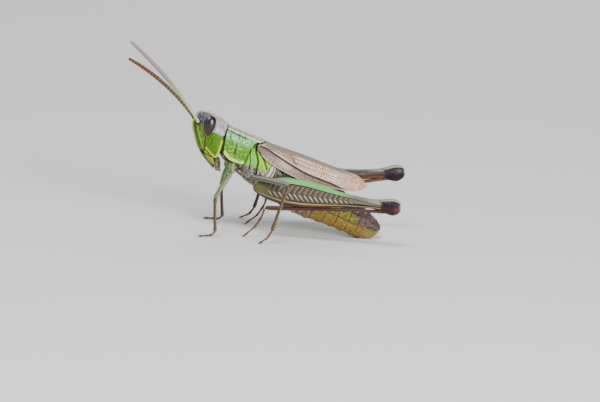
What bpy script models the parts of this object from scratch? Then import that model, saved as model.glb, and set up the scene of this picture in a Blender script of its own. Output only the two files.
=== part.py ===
"""Life-size male meadow grasshopper, standing with its hind legs folded along the body.

The head points along -X, the insect's left side faces -Y and +Z is up. Numbers are millimetres
until a mesh is made. The trunk, head, wings and mouthparts are laid out in the body's own frame:
x runs back along the body from the front edge of the back shield, y to the insect's right and z
up from the back. That frame is pitched down towards the tail. The legs and antennae are laid out
in the floor frame, which shares its x = 0 and y = 0 and has z = 0 on the floor.
"""

import math

import bmesh
import bpy
import numpy as np
from mathutils import Matrix, Vector

MM = 0.001

# Stance
BODY_HEIGHT = 7.52
BODY_PITCH = math.radians(20)

# Cuts between neighbours, and how fine the rings are
CUT = 0.04
WELD = 0.005
RING_POINTS = 16
TUBE_SIDES = 8
# The rounded end of a tube, as shares of its radius: how far it reaches, and its radius there
TIP_REACH = 0.7
TIP_RADIUS = 0.5

# Trunk: station along the body, half width, height of the back, height of the belly
TRUNK = (
    (0.00, 0.74, -0.36, -1.80),
    (0.35, 0.80, -0.38, -2.15),
    (0.90, 0.86, -0.40, -2.48),
    (1.50, 0.92, -0.42, -2.70),
    (2.00, 0.98, -0.45, -2.88),
    (2.12, 1.24, -0.45, -2.92),
    (2.60, 1.28, -0.45, -3.06),
    (3.30, 1.32, -0.45, -3.24),
    (4.00, 1.30, -0.47, -3.38),
    (4.90, 1.22, -0.52, -3.54),
    (6.30, 1.16, -0.72, -3.84),
    (7.40, 1.13, -0.86, -3.90),
    (8.50, 1.08, -1.00, -3.80),
    (10.0, 1.00, -1.22, -3.72),
    (11.5, 0.88, -1.62, -3.70),
    (12.0, 0.80, -1.78, -3.68),
    (12.4, 0.70, -1.94, -3.58),
    (12.7, 0.56, -2.08, -3.36),
    (12.9, 0.40, -2.22, -3.06),
    (13.05, 0.16, -2.38, -2.66),
)
TRUNK_SQUARENESS = (2.3, 2.3)
WIDEST_LEVEL = 0.55
NECK = (0.0, 0.32)
PROTHORAX = (0.36, 2.04)
MESOTHORAX = (2.12, 3.02)
METATHORAX = (3.06, 4.92)
ABDOMEN_JOINTS = (4.96, 5.90, 6.85, 7.80, 8.75, 9.65, 10.5, 11.25, 11.9)
LAST_RING_UNDER_WINGS = 6
TAIL_END = 13.05
TAIL_SPLIT_DROP = 0.95

# Head: height, front, rear, half width, narrowing towards the front
HEAD = (
    (-2.46, -1.10, -0.10, 0.70, 0.25),
    (-2.20, -1.40, 0.05, 0.90, 0.28),
    (-1.80, -1.77, 0.06, 1.03, 0.32),
    (-1.30, -2.17, -0.02, 1.07, 0.36),
    (-0.85, -2.46, -0.05, 1.04, 0.42),
    (-0.45, -2.44, -0.05, 1.00, 0.46),
    (-0.12, -2.33, -0.06, 0.90, 0.46),
    (0.10, -2.14, -0.16, 0.70, 0.42),
    (0.22, -1.86, -0.42, 0.45, 0.30),
    (0.28, -1.50, -0.82, 0.20, 0.10),
)
HEAD_WIDEST = 0.68
HEAD_SQUARENESS = (2.3, 3.4)
EYE_CENTRE = (-1.37, 0.76, -0.54)
EYE_RADII = (0.50, 0.44, 0.755)
EYE_TILT = math.radians(11.5)
EYE_NARROWING = 0.20
EYE_SEGMENTS = 14
EYE_RINGS = 9

# Mouthparts, as the head: height, front, rear, half width, narrowing
UPPER_LIP = (
    (-2.50, -1.10, -0.72, 0.56, 0.1),
    (-2.76, -0.70, -0.34, 0.56, 0.1),
    (-3.00, -0.26, 0.08, 0.50, 0.1),
    (-3.20, 0.16, 0.40, 0.34, 0.1),
)
MANDIBLE = (
    (-2.50, -0.66, -0.10, 0.24, 0.1),
    (-2.72, -0.28, 0.06, 0.24, 0.1),
    (-2.92, 0.14, 0.30, 0.14, 0.1),
)
MANDIBLE_OFFSET = 0.36
LOWER_LIP = (
    (-2.52, 0.10, 0.46, 0.40, 0.1),
    (-2.80, 0.36, 0.66, 0.38, 0.1),
    (-3.06, 0.50, 0.74, 0.26, 0.1),
)
PALP_POINTS = ((0.22, 0.52, -2.62), (0.34, 0.78, -2.96), (0.66, 0.66, -3.24))
PALP_RADIUS = 0.17

# Back shield (pronotum): station, half width of the flat top, half width of the sides, lower edge
SHIELD = (
    (0.00, 0.78, 0.98, -1.45),
    (0.40, 0.74, 1.06, -1.88),
    (1.10, 0.74, 1.16, -2.14),
    (2.00, 0.92, 1.27, -1.98),
    (2.90, 1.05, 1.30, -1.00),
)
SHIELD_STATIONS = 7
SHIELD_WALL = 0.22
SHIELD_TOP = -0.03
CARINA_DROP = 0.14
# Section of the shield, from the middle (0) to the lower edge (1): place, half width as a share of
# the top's and as a share of the sides', share of the drop to the carina and from there to the edge
SHIELD_SECTION = (
    (0.00, 0.0, 0.00, 0.00, 0.00),
    (0.20, 0.6, 0.00, 0.14, 0.00),
    (0.36, 1.0, 0.00, 1.00, 0.00),
    (0.56, 0.0, 0.97, 1.00, 0.28),
    (0.78, 0.0, 1.00, 1.00, 0.62),
    (1.00, 0.0, 0.98, 1.00, 1.00),
)
SHIELD_REACHES = (0.0, 0.20, 0.36, 0.46, 0.56, 0.78, 1.0)
SHIELD_FRONT_EDGE = ((0.0, 0.0), (0.4, 0.02), (0.7, 0.10), (1.0, 0.42))
SHIELD_REAR_EDGE = ((0.0, 2.90), (0.2, 2.74), (0.36, 2.42), (0.56, 1.98), (1.0, 1.94))

# Forewings: station, half width at the shoulder, half width at the lower edge, top, lower edge
WING = (
    (2.50, 1.00, 1.20, -0.22, -0.80),
    (3.00, 0.98, 1.30, -0.12, -0.98),
    (3.80, 0.92, 1.36, -0.07, -1.22),
    (4.90, 0.84, 1.38, 0.02, -1.36),
    (6.00, 0.76, 1.34, 0.11, -1.40),
    (7.85, 0.66, 1.20, 0.19, -1.18),
    (9.40, 0.60, 1.00, 0.27, -0.88),
    (9.95, 0.58, 0.88, 0.28, -0.72),
    (10.4, 0.56, 0.76, 0.17, -0.50),
    (10.7, 0.55, 0.66, 0.04, -0.27),
    (10.82, 0.54, 0.60, -0.04, -0.16),
)
WING_THICKNESS = 0.50
# The wall takes at most this share of the wing's height where the wing runs out at its tip
WING_WALL_SHARE = 0.8
WING_STATIONS = 12
WING_BUNCHING = 1.3
SHOULDER_DROP = 0.06
WING_SIDE_POINTS = 5
# Where the wing's root starts, from the middle of the back (0) by the shoulder (0.5) to the lower edge (1)
WING_ROOT_EDGE = ((0.0, 3.00), (0.5, 2.62), (0.75, 2.40), (1.0, 2.96))

# Antennae in the floor frame: root, bend and tip
ANTENNA_LEFT = ((-2.22, -0.47, 7.68), (-3.88, -0.80, 10.22), (-7.40, -1.40, 13.14))
ANTENNA_RIGHT = ((-2.30, 0.47, 7.62), (-4.15, 2.50, 9.90), (-6.88, 4.60, 10.95))
ANTENNA_RADIUS = 0.25
ANTENNA_POINTS = 9

# Front and middle legs in the floor frame: hip inside the body, trochanter, knee, ankle, heel, claws
SHORT_LEGS = {
    "front_left": ((0.38, -0.72, 4.80), (0.34, -1.18, 4.24), (-0.78, -2.60, 2.70),
                   (-0.62, -2.90, 0.52), (-0.95, -3.05, 0.24), (-1.75, -3.35, 0.18)),
    "front_right": ((0.38, 0.72, 4.80), (0.34, 1.18, 4.24), (0.20, 2.45, 2.72),
                    (0.48, 2.72, 0.52), (0.12, 2.92, 0.24), (-0.72, 3.20, 0.18)),
    "middle_left": ((1.48, -1.00, 4.40), (1.74, -1.72, 4.20), (4.15, -3.70, 4.13),
                    (3.20, -4.02, 0.98), (2.94, -4.14, 0.46), (2.40, -4.30, 0.13)),
    "middle_right": ((1.48, 1.00, 4.40), (1.74, 1.72, 4.20), (3.70, 3.86, 4.26),
                     (2.86, 4.10, 0.92), (2.56, 4.18, 0.42), (1.98, 4.32, 0.13)),
}
COXA_RADII = (0.363, 0.297)
FEMUR_RADII = (0.26, 0.291, 0.26)
FEMUR_SWELLING_PLACE = 0.4
TIBIA_RADIUS = 0.25
TARSUS_RADIUS = 0.25
JOINT_SETBACK = 0.24

# Hind legs in the floor frame: both ends of the femur
HIND_FEMORA = {
    "left": ((1.90, -1.85, 3.53), (12.20, -3.50, 2.98)),
    "right": ((2.25, 1.85, 3.53), (13.10, 3.10, 4.26)),
}
# Fraction of the length, rise above the axis, drop below it, half thickness
HIND_FEMUR = (
    (0.000, 0.14, 0.14, 0.12),
    (0.020, 0.36, 0.36, 0.25),
    (0.080, 0.62, 0.62, 0.34),
    (0.150, 0.85, 0.84, 0.42),
    (0.220, 0.97, 0.95, 0.46),
    (0.310, 0.99, 0.97, 0.47),
    (0.400, 0.89, 0.90, 0.44),
    (0.500, 0.68, 0.72, 0.38),
    (0.620, 0.45, 0.48, 0.31),
    (0.720, 0.36, 0.37, 0.27),
    (0.800, 0.33, 0.34, 0.26),
    (0.860, 0.38, 0.38, 0.28),
    (0.900, 0.50, 0.54, 0.34),
    (0.945, 0.58, 0.64, 0.38),
    (0.980, 0.46, 0.50, 0.33),
    (1.000, 0.20, 0.24, 0.18),
)
HIND_COXA = ((3.18, 1.22, 4.72), (2.62, 1.52, 3.66))
HIND_COXA_RADII = (0.44, 0.396)
# The shin lies folded under the femur: fraction of the femur's length, drop below its axis
HIND_TIBIA = ((0.935, 0.42), (0.90, 0.62), (0.50, 1.055), (0.10, 1.47))
HIND_TIBIA_RADIUS = 0.23
# Foot of the hind leg, from the end of the shin: forward, outward, and height above the floor
HIND_TARSUS = ((0.30, 0.03, 1.34), (0.66, 0.08, 0.72), (1.36, 0.20, 0.14))
HIND_TARSUS_RADII = (0.225, 0.225, 0.225, 0.25)

FLOOR_CUTTER_SIZE = (40.0, 20.0, 2.0)

FINISHES = {
    "head_green": ((0.36, 0.48, 0.06), 0.42),
    "eye_brown": ((0.11, 0.05, 0.05), 0.18),
    "feeler_horn": ((0.45, 0.40, 0.26), 0.50),
    "mouth_olive": ((0.38, 0.34, 0.14), 0.48),
    "shield_green": ((0.22, 0.42, 0.10), 0.38),
    "trunk_green": ((0.26, 0.40, 0.08), 0.45),
    "belly_ochre": ((0.36, 0.29, 0.06), 0.50),
    "wing_tan": ((0.42, 0.30, 0.22), 0.45),
    "leg_grey": ((0.30, 0.29, 0.22), 0.50),
    "hind_leg_brown": ((0.16, 0.12, 0.07), 0.48),
    "shin_red": ((0.22, 0.06, 0.03), 0.45),
}


# --- Scene and materials -------------------------------------------------------------------------


def clear_scene():
    """Removes every object that the scene starts with."""
    for obj in list(bpy.data.objects):
        bpy.data.objects.remove(obj, do_unlink=True)


def make_collection(name, hidden=False):
    """A collection in the scene. A hidden one stays out of renders."""
    collection = bpy.data.collections.new(name)
    bpy.context.scene.collection.children.link(collection)
    collection.hide_render = hidden
    return collection


def make_finish(name, colour, roughness):
    """A cuticle finish: a Principled shader of one colour and roughness, and no metal."""
    finish = bpy.data.materials.new(name)
    finish.use_nodes = True
    shader = finish.node_tree.nodes["Principled BSDF"]
    shader.inputs["Base Color"].default_value = (*colour, 1.0)
    shader.inputs["Roughness"].default_value = roughness
    shader.inputs["Metallic"].default_value = 0.0
    return finish


class Workshop:
    """Keeps the collections, the two frames and the finishes that the pieces share."""

    def __init__(self):
        self.parts = make_collection("grasshopper")
        self.cutters = make_collection("cutters", hidden=True)
        self.floor = self.add_frame("floor_frame", None, (0, 0, 0), 0)
        self.body = self.add_frame("body_frame", self.floor, (0, 0, BODY_HEIGHT * MM), BODY_PITCH)
        self.finishes = {name: make_finish(name, *look) for name, look in FINISHES.items()}

    def add_frame(self, name, parent, location, pitch):
        empty = bpy.data.objects.new(name, None)
        empty.parent = parent
        empty.location = location
        empty.rotation_euler = (0, pitch, 0)
        self.parts.objects.link(empty)
        return empty

    def add_piece(self, name, mesh, finish, frame):
        mesh.name = name
        mesh.materials.clear()
        mesh.materials.append(self.finishes[finish])
        mesh.shade_smooth()
        piece = bpy.data.objects.new(name, mesh)
        piece.parent = frame
        self.parts.objects.link(piece)
        return piece

    def add_cutter(self, neighbour, grow):
        """Copies a piece, swollen by grow along its normals, to cut room for it in another piece."""
        cutter = bpy.data.objects.new("room_for_" + neighbour.name, neighbour.data)
        cutter.parent = neighbour.parent
        swell = cutter.modifiers.new("swell", "DISPLACE")
        swell.mid_level = 0.0
        swell.strength = grow * MM
        cutter.hide_render = True
        cutter.display_type = "WIRE"
        self.cutters.objects.link(cutter)
        return cutter

    def make_room(self, piece, *neighbours):
        """Cuts the piece back from each neighbour's uncut shape, and leaves a thin gap."""
        for neighbour in neighbours:
            self.cut(piece, self.add_cutter(neighbour, CUT))

    @staticmethod
    def cut(piece, cutter):
        room = piece.modifiers.new(cutter.name, "BOOLEAN")
        room.operation = "DIFFERENCE"
        room.solver = "EXACT"
        room.object = cutter


# --- Shapes --------------------------------------------------------------------------------------


def finish_mesh(work):
    """Turns a worked-on bmesh into a mesh in metres whose faces point out."""
    bmesh.ops.recalc_face_normals(work, faces=work.faces)
    bmesh.ops.scale(work, vec=(MM, MM, MM), verts=work.verts)
    mesh = bpy.data.meshes.new("shape")
    work.to_mesh(mesh)
    work.free()
    return mesh


def oval_ring(centre, across, upright, half_width, rise, drop, squareness=(2.0, 2.0), taper=0.0):
    """Points of a ring: half_width to each side of the centre, rise above it and drop below it.

    The squareness holds for the upper half and the lower half: 2 makes an ellipse, and more makes
    it squarer. The taper narrows the ring from its centre to its upper end.
    """
    angle = np.linspace(0, 2 * math.pi, RING_POINTS, endpoint=False)
    power = np.where(np.sin(angle) > 0, 2 / squareness[0], 2 / squareness[1])
    side = np.sign(np.cos(angle)) * np.abs(np.cos(angle)) ** power
    lift = np.sign(np.sin(angle)) * np.abs(np.sin(angle)) ** power
    width = half_width * side * (1 - taper * np.maximum(lift, 0))
    height = np.where(lift > 0, rise, drop) * lift
    return np.array(centre) + np.outer(width, across) + np.outer(height, upright)


def loft(rings, folded=False):
    """Skins a row of closed rings with the same number of points, and closes both ends.

    A folded ring runs out along one side of a wall and back along the other, so its ends are
    closed rung by rung between the two sides.
    """
    work = bmesh.new()
    rows = [[work.verts.new(point) for point in ring] for ring in rings]
    for row, following in zip(rows, rows[1:]):
        for here in range(len(row)):
            beside = (here + 1) % len(row)
            work.faces.new((row[here], row[beside], following[beside], following[here]))
    for row in (rows[0], rows[-1]):
        if not folded:
            work.faces.new(row)
            continue
        for rung in range(len(row) // 2 - 1):
            work.faces.new((row[rung], row[rung + 1], row[-2 - rung], row[-1 - rung]))
    return finish_mesh(work)


def read_table(table, station):
    """Every column of a table at one station, in straight lines between its rows."""
    rows = np.array(table)
    return [float(np.interp(station, rows[:, 0], column)) for column in rows[:, 1:].T]


def rounded_tube(points, radii):
    """A round-ended tube through points, as a mesh made from a bevelled curve with filled caps."""
    points = [Vector(point) for point in points]
    ends = ((points[0], points[1], radii[0]), (points[-1], points[-2], radii[-1]))
    start_tip, end_tip = (
        end + (end - inner).normalized() * radius * TIP_REACH for end, inner, radius in ends
    )
    points = [start_tip, *points, end_tip]
    radii = [radii[0] * TIP_RADIUS, *radii, radii[-1] * TIP_RADIUS]
    curve = bpy.data.curves.new("tube", "CURVE")
    curve.dimensions = "3D"
    curve.bevel_depth = MM
    curve.bevel_resolution = (TUBE_SIDES - 4) // 2
    curve.use_fill_caps = True
    spline = curve.splines.new("POLY")
    spline.points.add(len(points) - 1)
    for knot, point, radius in zip(spline.points, points, radii):
        knot.co = (*(point * MM), 1)
        knot.radius = radius
    guide = bpy.data.objects.new("tube", curve)
    bpy.context.scene.collection.objects.link(guide)
    bpy.context.view_layer.update()
    graph = bpy.context.evaluated_depsgraph_get()
    mesh = bpy.data.meshes.new_from_object(guide.evaluated_get(graph))
    bpy.data.objects.remove(guide, do_unlink=True)
    bpy.data.curves.remove(curve)
    work = bmesh.new()
    work.from_mesh(mesh)
    bpy.data.meshes.remove(mesh)
    bmesh.ops.remove_doubles(work, verts=work.verts, dist=WELD * MM)
    bmesh.ops.scale(work, vec=(1 / MM, 1 / MM, 1 / MM), verts=work.verts)
    return finish_mesh(work)


# --- Trunk ---------------------------------------------------------------------------------------


def trunk_ring(station, top=None, bottom=None):
    """Cross-section of the trunk, or of its part between two heights."""
    half_width, back, belly = read_table(TRUNK, station)
    top = back if top is None else top
    bottom = belly if bottom is None else bottom
    widest = top + (bottom - top) * WIDEST_LEVEL
    centre = (station, 0, widest)
    return oval_ring(centre, (0, 1, 0), (0, 0, 1), half_width, top - widest, widest - bottom,
                     TRUNK_SQUARENESS)


def trunk_stations(start, end):
    """Both ends of a length of trunk, and the table's stations between them."""
    inner = [row[0] for row in TRUNK if start + CUT < row[0] < end - CUT]
    return [start, *inner, end]


def make_trunk(shop):
    """Neck, the three rings of the thorax, the eight rings of the abdomen, and the two tail plates."""
    lengths = {
        "neck": NECK,
        "prothorax": PROTHORAX,
        "mesothorax": MESOTHORAX,
        "metathorax": METATHORAX,
    }
    pieces = {}
    for name, (start, end) in lengths.items():
        mesh = loft([trunk_ring(station) for station in trunk_stations(start, end)])
        pieces[name] = shop.add_piece(name, mesh, "trunk_green", shop.body)
    for number, (start, end) in enumerate(zip(ABDOMEN_JOINTS, ABDOMEN_JOINTS[1:]), 1):
        mesh = loft([trunk_ring(station) for station in trunk_stations(start, end - CUT)])
        name = f"abdomen_{number}"
        pieces[name] = shop.add_piece(name, mesh, "belly_ochre", shop.body)
    stations = trunk_stations(ABDOMEN_JOINTS[-1], TAIL_END)
    splits = [read_table(TRUNK, station)[1] - TAIL_SPLIT_DROP for station in stations]
    upper, lower = [], []
    for station, split in zip(stations, splits):
        _, back, belly = read_table(TRUNK, station)
        split = max(split, (back + belly) / 2)
        upper.append(trunk_ring(station, bottom=split + CUT / 2))
        lower.append(trunk_ring(station, top=split - CUT / 2))
    pieces["tail_plate"] = shop.add_piece("tail_plate", loft(upper), "belly_ochre", shop.body)
    pieces["subgenital_plate"] = shop.add_piece(
        "subgenital_plate", loft(lower[:-1]), "belly_ochre", shop.body)
    return pieces


# --- Head ----------------------------------------------------------------------------------------


def level_rings(table, offset=0.0):
    """Level rings of the head or a mouthpart, each from its front to its rear."""
    rings = []
    for height, front, rear, half_width, taper in table:
        widest = front + (rear - front) * HEAD_WIDEST
        rings.append(oval_ring((widest, offset, height), (0, 1, 0), (-1, 0, 0), half_width,
                               widest - front, rear - widest, HEAD_SQUARENESS, taper))
    return rings


def eye_mesh(side):
    """An egg, narrower below, leaning back down the cheek."""
    work = bmesh.new()
    bmesh.ops.create_uvsphere(work, u_segments=EYE_SEGMENTS, v_segments=EYE_RINGS, radius=1.0)
    for vert in work.verts:
        narrow = 1 - EYE_NARROWING * (1 - vert.co.z) / 2
        vert.co.x *= EYE_RADII[0] * narrow
        vert.co.y *= EYE_RADII[1] * narrow
        vert.co.z *= EYE_RADII[2]
    bmesh.ops.rotate(work, verts=work.verts, matrix=Matrix.Rotation(-EYE_TILT, 3, "Y"))
    centre = Vector((EYE_CENTRE[0], side * EYE_CENTRE[1], EYE_CENTRE[2]))
    bmesh.ops.translate(work, verts=work.verts, vec=centre)
    return finish_mesh(work)


def make_head(shop):
    """The head capsule, its eyes let into it, and the mouthparts that hang below it."""
    head = shop.add_piece("head", loft(level_rings(HEAD)), "head_green", shop.body)
    shop.add_piece("upper_lip", loft(level_rings(UPPER_LIP)), "mouth_olive", shop.body)
    shop.add_piece("lower_lip", loft(level_rings(LOWER_LIP)), "mouth_olive", shop.body)
    for name, side in (("left", -1), ("right", 1)):
        eye = shop.add_piece("eye_" + name, eye_mesh(side), "eye_brown", shop.body)
        shop.make_room(head, eye)
        jaw = loft(level_rings(MANDIBLE, side * MANDIBLE_OFFSET))
        shop.add_piece("mandible_" + name, jaw, "mouth_olive", shop.body)
        points = [(x, side * y, z) for x, y, z in PALP_POINTS]
        palp = rounded_tube(points, [PALP_RADIUS] * len(points))
        shop.add_piece("palp_" + name, palp, "mouth_olive", shop.body)
    return head


def make_antennae(shop, head):
    """Two feelers, each along a curve pulled from root to tip by its bend point."""
    for name, (root, bend, tip) in (("antenna_left", ANTENNA_LEFT), ("antenna_right", ANTENNA_RIGHT)):
        root, bend, tip = (np.array(point) for point in (root, bend, tip))
        along = np.linspace(0, 1, ANTENNA_POINTS)[:, None]
        points = (1 - along) ** 2 * root + 2 * along * (1 - along) * bend + along ** 2 * tip
        mesh = rounded_tube(points, [ANTENNA_RADIUS] * ANTENNA_POINTS)
        antenna = shop.add_piece(name, mesh, "feeler_horn", shop.floor)
        shop.make_room(antenna, head)


# --- Back shield and wings -----------------------------------------------------------------------


def shield_point(across, along):
    """A point of the back shield: across runs from -1 to 1 over the back, along from front to rear."""
    reach = abs(across)
    front = np.interp(reach, *zip(*SHIELD_FRONT_EDGE))
    rear = np.interp(reach, *zip(*SHIELD_REAR_EDGE))
    station = front + (rear - front) * along
    top_width, side_width, lower_edge = read_table(SHIELD, station)
    top_share, side_share, carina_share, edge_share = read_table(SHIELD_SECTION, reach)
    width = top_width * top_share + side_width * side_share
    carina = SHIELD_TOP - CARINA_DROP
    height = SHIELD_TOP - CARINA_DROP * carina_share + (lower_edge - carina) * edge_share
    return (station, math.copysign(width, across), height)


def make_shield(shop):
    """The back shield, a saddle over the prothorax: an open sheet given its wall inwards."""
    across = [-reach for reach in reversed(SHIELD_REACHES[1:])] + list(SHIELD_REACHES)
    steps = np.linspace(0, 1, SHIELD_STATIONS)
    rows = [[shield_point(position, along) for position in across] for along in steps]
    work = bmesh.new()
    grid = [[work.verts.new(point) for point in row] for row in rows]
    for row, following in zip(grid, grid[1:]):
        for here in range(len(row) - 1):
            work.faces.new((row[here], following[here], following[here + 1], row[here + 1]))
    bmesh.ops.scale(work, vec=(MM, MM, MM), verts=work.verts)
    mesh = bpy.data.meshes.new("shield")
    work.to_mesh(mesh)
    work.free()
    shield = shop.add_piece("pronotum", mesh, "shield_green", shop.body)
    wall = shield.modifiers.new("wall", "SOLIDIFY")
    wall.thickness = SHIELD_WALL * MM
    wall.offset = -1.0
    wall.use_even_offset = True
    return shield


def wing_ring(side, along):
    """Folded section of a forewing: over the back, down the flank, and back along its inner side."""
    reaches = np.concatenate([[0.0, 0.5], np.linspace(1, 2, WING_SIDE_POINTS)])
    outer, inner = [], []
    for reach in reaches:
        root = np.interp(reach / 2, *zip(*WING_ROOT_EDGE))
        station = root + (WING[-1][0] - root) * along
        shoulder, low_width, top, low = read_table(WING, station)
        wall = min(WING_THICKNESS, WING_WALL_SHARE * (top - low))
        ceiling = top - wall
        over = min(reach, 1.0)
        down = max(reach - 1.0, 0.0)
        spread = (low_width - shoulder) * math.sin(down * math.pi / 2)
        width = CUT / 2 + (shoulder - CUT / 2) * over + spread
        inner_width = CUT / 2 + (shoulder - WING_THICKNESS - CUT / 2) * over + spread
        height = top - SHOULDER_DROP * over ** 2
        outer.append((station, side * width, height + (low - height) * down))
        inner.append((station, side * inner_width, ceiling + (low - ceiling) * down))
    return outer + inner[::-1]


def make_wings(shop):
    """Two short forewings folded over the back and flanks, side by side."""
    steps = 1 - (1 - np.linspace(0, 1, WING_STATIONS)) ** WING_BUNCHING
    wings = []
    for name, side in (("forewing_left", -1), ("forewing_right", 1)):
        mesh = loft([wing_ring(side, along) for along in steps], folded=True)
        wings.append(shop.add_piece(name, mesh, "wing_tan", shop.body))
    return wings


# --- Legs ----------------------------------------------------------------------------------------


def below(joint, target):
    """The point a little way from a joint towards the next one, where the lower piece starts."""
    return joint + (target - joint) / np.linalg.norm(target - joint) * JOINT_SETBACK


def make_short_leg(shop, name, points, thorax):
    """A front or middle leg: coxa, femur, tibia and tarsus, each cut back from the one above it.

    It gives back the tarsus, which stands on the floor.
    """
    hip, trochanter, knee, ankle, heel, claw = (np.array(point) for point in points)
    coxa = shop.add_piece(
        name.replace("_", "_coxa_"),
        rounded_tube([hip, trochanter], COXA_RADII), "leg_grey", shop.floor)
    shop.make_room(coxa, thorax)
    middle = trochanter + (knee - trochanter) * FEMUR_SWELLING_PLACE
    femur = shop.add_piece(
        name.replace("_", "_femur_"),
        rounded_tube([below(trochanter, knee), middle, knee], FEMUR_RADII), "leg_grey", shop.floor)
    shop.make_room(femur, coxa)
    tibia = shop.add_piece(
        name.replace("_", "_tibia_"),
        rounded_tube([below(knee, ankle), ankle], [TIBIA_RADIUS, TIBIA_RADIUS]), "leg_grey", shop.floor)
    shop.make_room(tibia, femur)
    tarsus = shop.add_piece(
        name.replace("_", "_tarsus_"),
        rounded_tube([below(ankle, heel), heel, claw], [TARSUS_RADIUS] * 3), "leg_grey", shop.floor)
    shop.make_room(tarsus, tibia)
    return tarsus


def make_hind_leg(shop, side_name, metathorax):
    """The jumping leg, its shin folded under the femur and its foot reaching down to the floor."""
    side = -1 if side_name == "left" else 1
    base, knee = (np.array(point) for point in HIND_FEMORA[side_name])
    axis = (knee - base) / np.linalg.norm(knee - base)
    across = np.cross(axis, (0, 0, 1))
    across /= np.linalg.norm(across)
    upright = np.cross(across, axis)
    rings = [
        oval_ring(base + (knee - base) * share, across, upright, thick, rise, drop)
        for share, rise, drop, thick in HIND_FEMUR
    ]
    femur = shop.add_piece("hind_femur_" + side_name, loft(rings), "hind_leg_brown", shop.floor)
    ends = [(x, side * y, z) for x, y, z in HIND_COXA]
    coxa = shop.add_piece(
        "hind_coxa_" + side_name,
        rounded_tube(ends, HIND_COXA_RADII), "trunk_green", shop.floor)
    shop.make_room(coxa, metathorax, femur)
    shin = [base + (knee - base) * share - upright * drop for share, drop in HIND_TIBIA]
    tibia = shop.add_piece(
        "hind_tibia_" + side_name,
        rounded_tube(shin, [HIND_TIBIA_RADIUS] * len(shin)), "shin_red", shop.floor)
    shop.make_room(tibia, femur)
    ankle = shin[-1]
    foot = [below(ankle, np.array((ankle[0], ankle[1], 0.0)))]
    for forward, outward, height in HIND_TARSUS:
        foot.append((ankle[0] - forward, ankle[1] + side * outward, height))
    tarsus = shop.add_piece(
        "hind_tarsus_" + side_name,
        rounded_tube(foot, HIND_TARSUS_RADII), "shin_red", shop.floor)
    shop.make_room(tarsus, tibia)
    return tarsus


# --- Whole animal --------------------------------------------------------------------------------


def flatten_on_floor(shop, pieces):
    """Cuts small flats at floor level under the pieces that the animal stands on."""
    work = bmesh.new()
    bmesh.ops.create_cube(work, size=1.0)
    bmesh.ops.scale(work, vec=FLOOR_CUTTER_SIZE, verts=work.verts)
    bmesh.ops.translate(work, vec=(0, 0, -FLOOR_CUTTER_SIZE[2] / 2), verts=work.verts)
    cutter = bpy.data.objects.new("below_floor", finish_mesh(work))
    cutter.parent = shop.floor
    cutter.hide_render = True
    cutter.display_type = "WIRE"
    shop.cutters.objects.link(cutter)
    for piece in pieces:
        shop.cut(piece, cutter)


def centre_on_origin(shop):
    """Moves the whole animal so that the bottom centre of its box is the origin."""
    bpy.context.view_layer.update()
    graph = bpy.context.evaluated_depsgraph_get()
    corners = []
    for piece in shop.parts.objects:
        if piece.type == "MESH":
            solid = piece.evaluated_get(graph)
            mesh = solid.to_mesh()
            corners += [piece.matrix_world @ vert.co for vert in mesh.vertices]
            solid.to_mesh_clear()
    low = np.min(corners, axis=0)
    high = np.max(corners, axis=0)
    shop.floor.location = (-(low[0] + high[0]) / 2, -(low[1] + high[1]) / 2, -low[2])


def main():
    clear_scene()
    shop = Workshop()
    trunk = make_trunk(shop)
    head = make_head(shop)
    make_antennae(shop, head)
    make_shield(shop)
    wings = make_wings(shop)
    covered = ["mesothorax", "metathorax"]
    covered += [f"abdomen_{number}" for number in range(1, LAST_RING_UNDER_WINGS + 1)]
    for name in covered:
        shop.make_room(trunk[name], *wings)
    feet = [trunk["abdomen_8"], trunk["subgenital_plate"]]
    for name, points in SHORT_LEGS.items():
        thorax = trunk["prothorax"] if name.startswith("front") else trunk["mesothorax"]
        feet.append(make_short_leg(shop, name, points, thorax))
    for side_name in HIND_FEMORA:
        feet.append(make_hind_leg(shop, side_name, trunk["metathorax"]))
    flatten_on_floor(shop, feet)
    centre_on_origin(shop)


main()
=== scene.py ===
"""Looks of a life-size male meadow grasshopper, laid out as an add-on.

Lengths are millimetres until a mesh is made. Two frames are used. The floor frame has +Z up from
the floor, the head towards -X and the insect's left side towards -Y. The body frame starts at the
front edge of the back shield: s runs back along the body, y to the insect's right and t up from
the back, and the whole frame is pitched down towards the tail. Every surface is a grid of points
worked out as whole arrays: its rows run along a part, and its columns run round or across it.
"""

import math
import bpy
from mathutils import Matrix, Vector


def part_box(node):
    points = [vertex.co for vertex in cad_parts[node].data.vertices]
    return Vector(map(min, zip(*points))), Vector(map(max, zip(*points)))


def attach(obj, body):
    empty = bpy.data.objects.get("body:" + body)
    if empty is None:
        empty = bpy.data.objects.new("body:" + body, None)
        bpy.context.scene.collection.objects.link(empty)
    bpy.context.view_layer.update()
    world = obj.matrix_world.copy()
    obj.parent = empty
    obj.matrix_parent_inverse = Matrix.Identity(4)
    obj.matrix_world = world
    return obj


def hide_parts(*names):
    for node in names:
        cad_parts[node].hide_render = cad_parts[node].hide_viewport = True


bl_info = {
    "name": "Meadow grasshopper",
    "version": (1, 0, 0),
    "blender": (4, 5, 0),
    "location": "3D View > Sidebar > Grasshopper",
    "description": "Builds the surfaces, finishes, hairs and stage of a life-size grasshopper",
    "category": "Add Mesh",
}

import bpy
import numpy as np
from mathutils import Matrix, Vector

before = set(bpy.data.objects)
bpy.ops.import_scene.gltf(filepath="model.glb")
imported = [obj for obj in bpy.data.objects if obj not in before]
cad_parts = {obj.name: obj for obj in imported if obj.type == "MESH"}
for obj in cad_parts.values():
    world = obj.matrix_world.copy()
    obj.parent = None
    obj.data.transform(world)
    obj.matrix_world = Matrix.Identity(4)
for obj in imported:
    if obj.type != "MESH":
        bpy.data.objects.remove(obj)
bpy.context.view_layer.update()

MM = 0.001
# Width of a hair's patch on the coat's map
PATCH = 0.003
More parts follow.
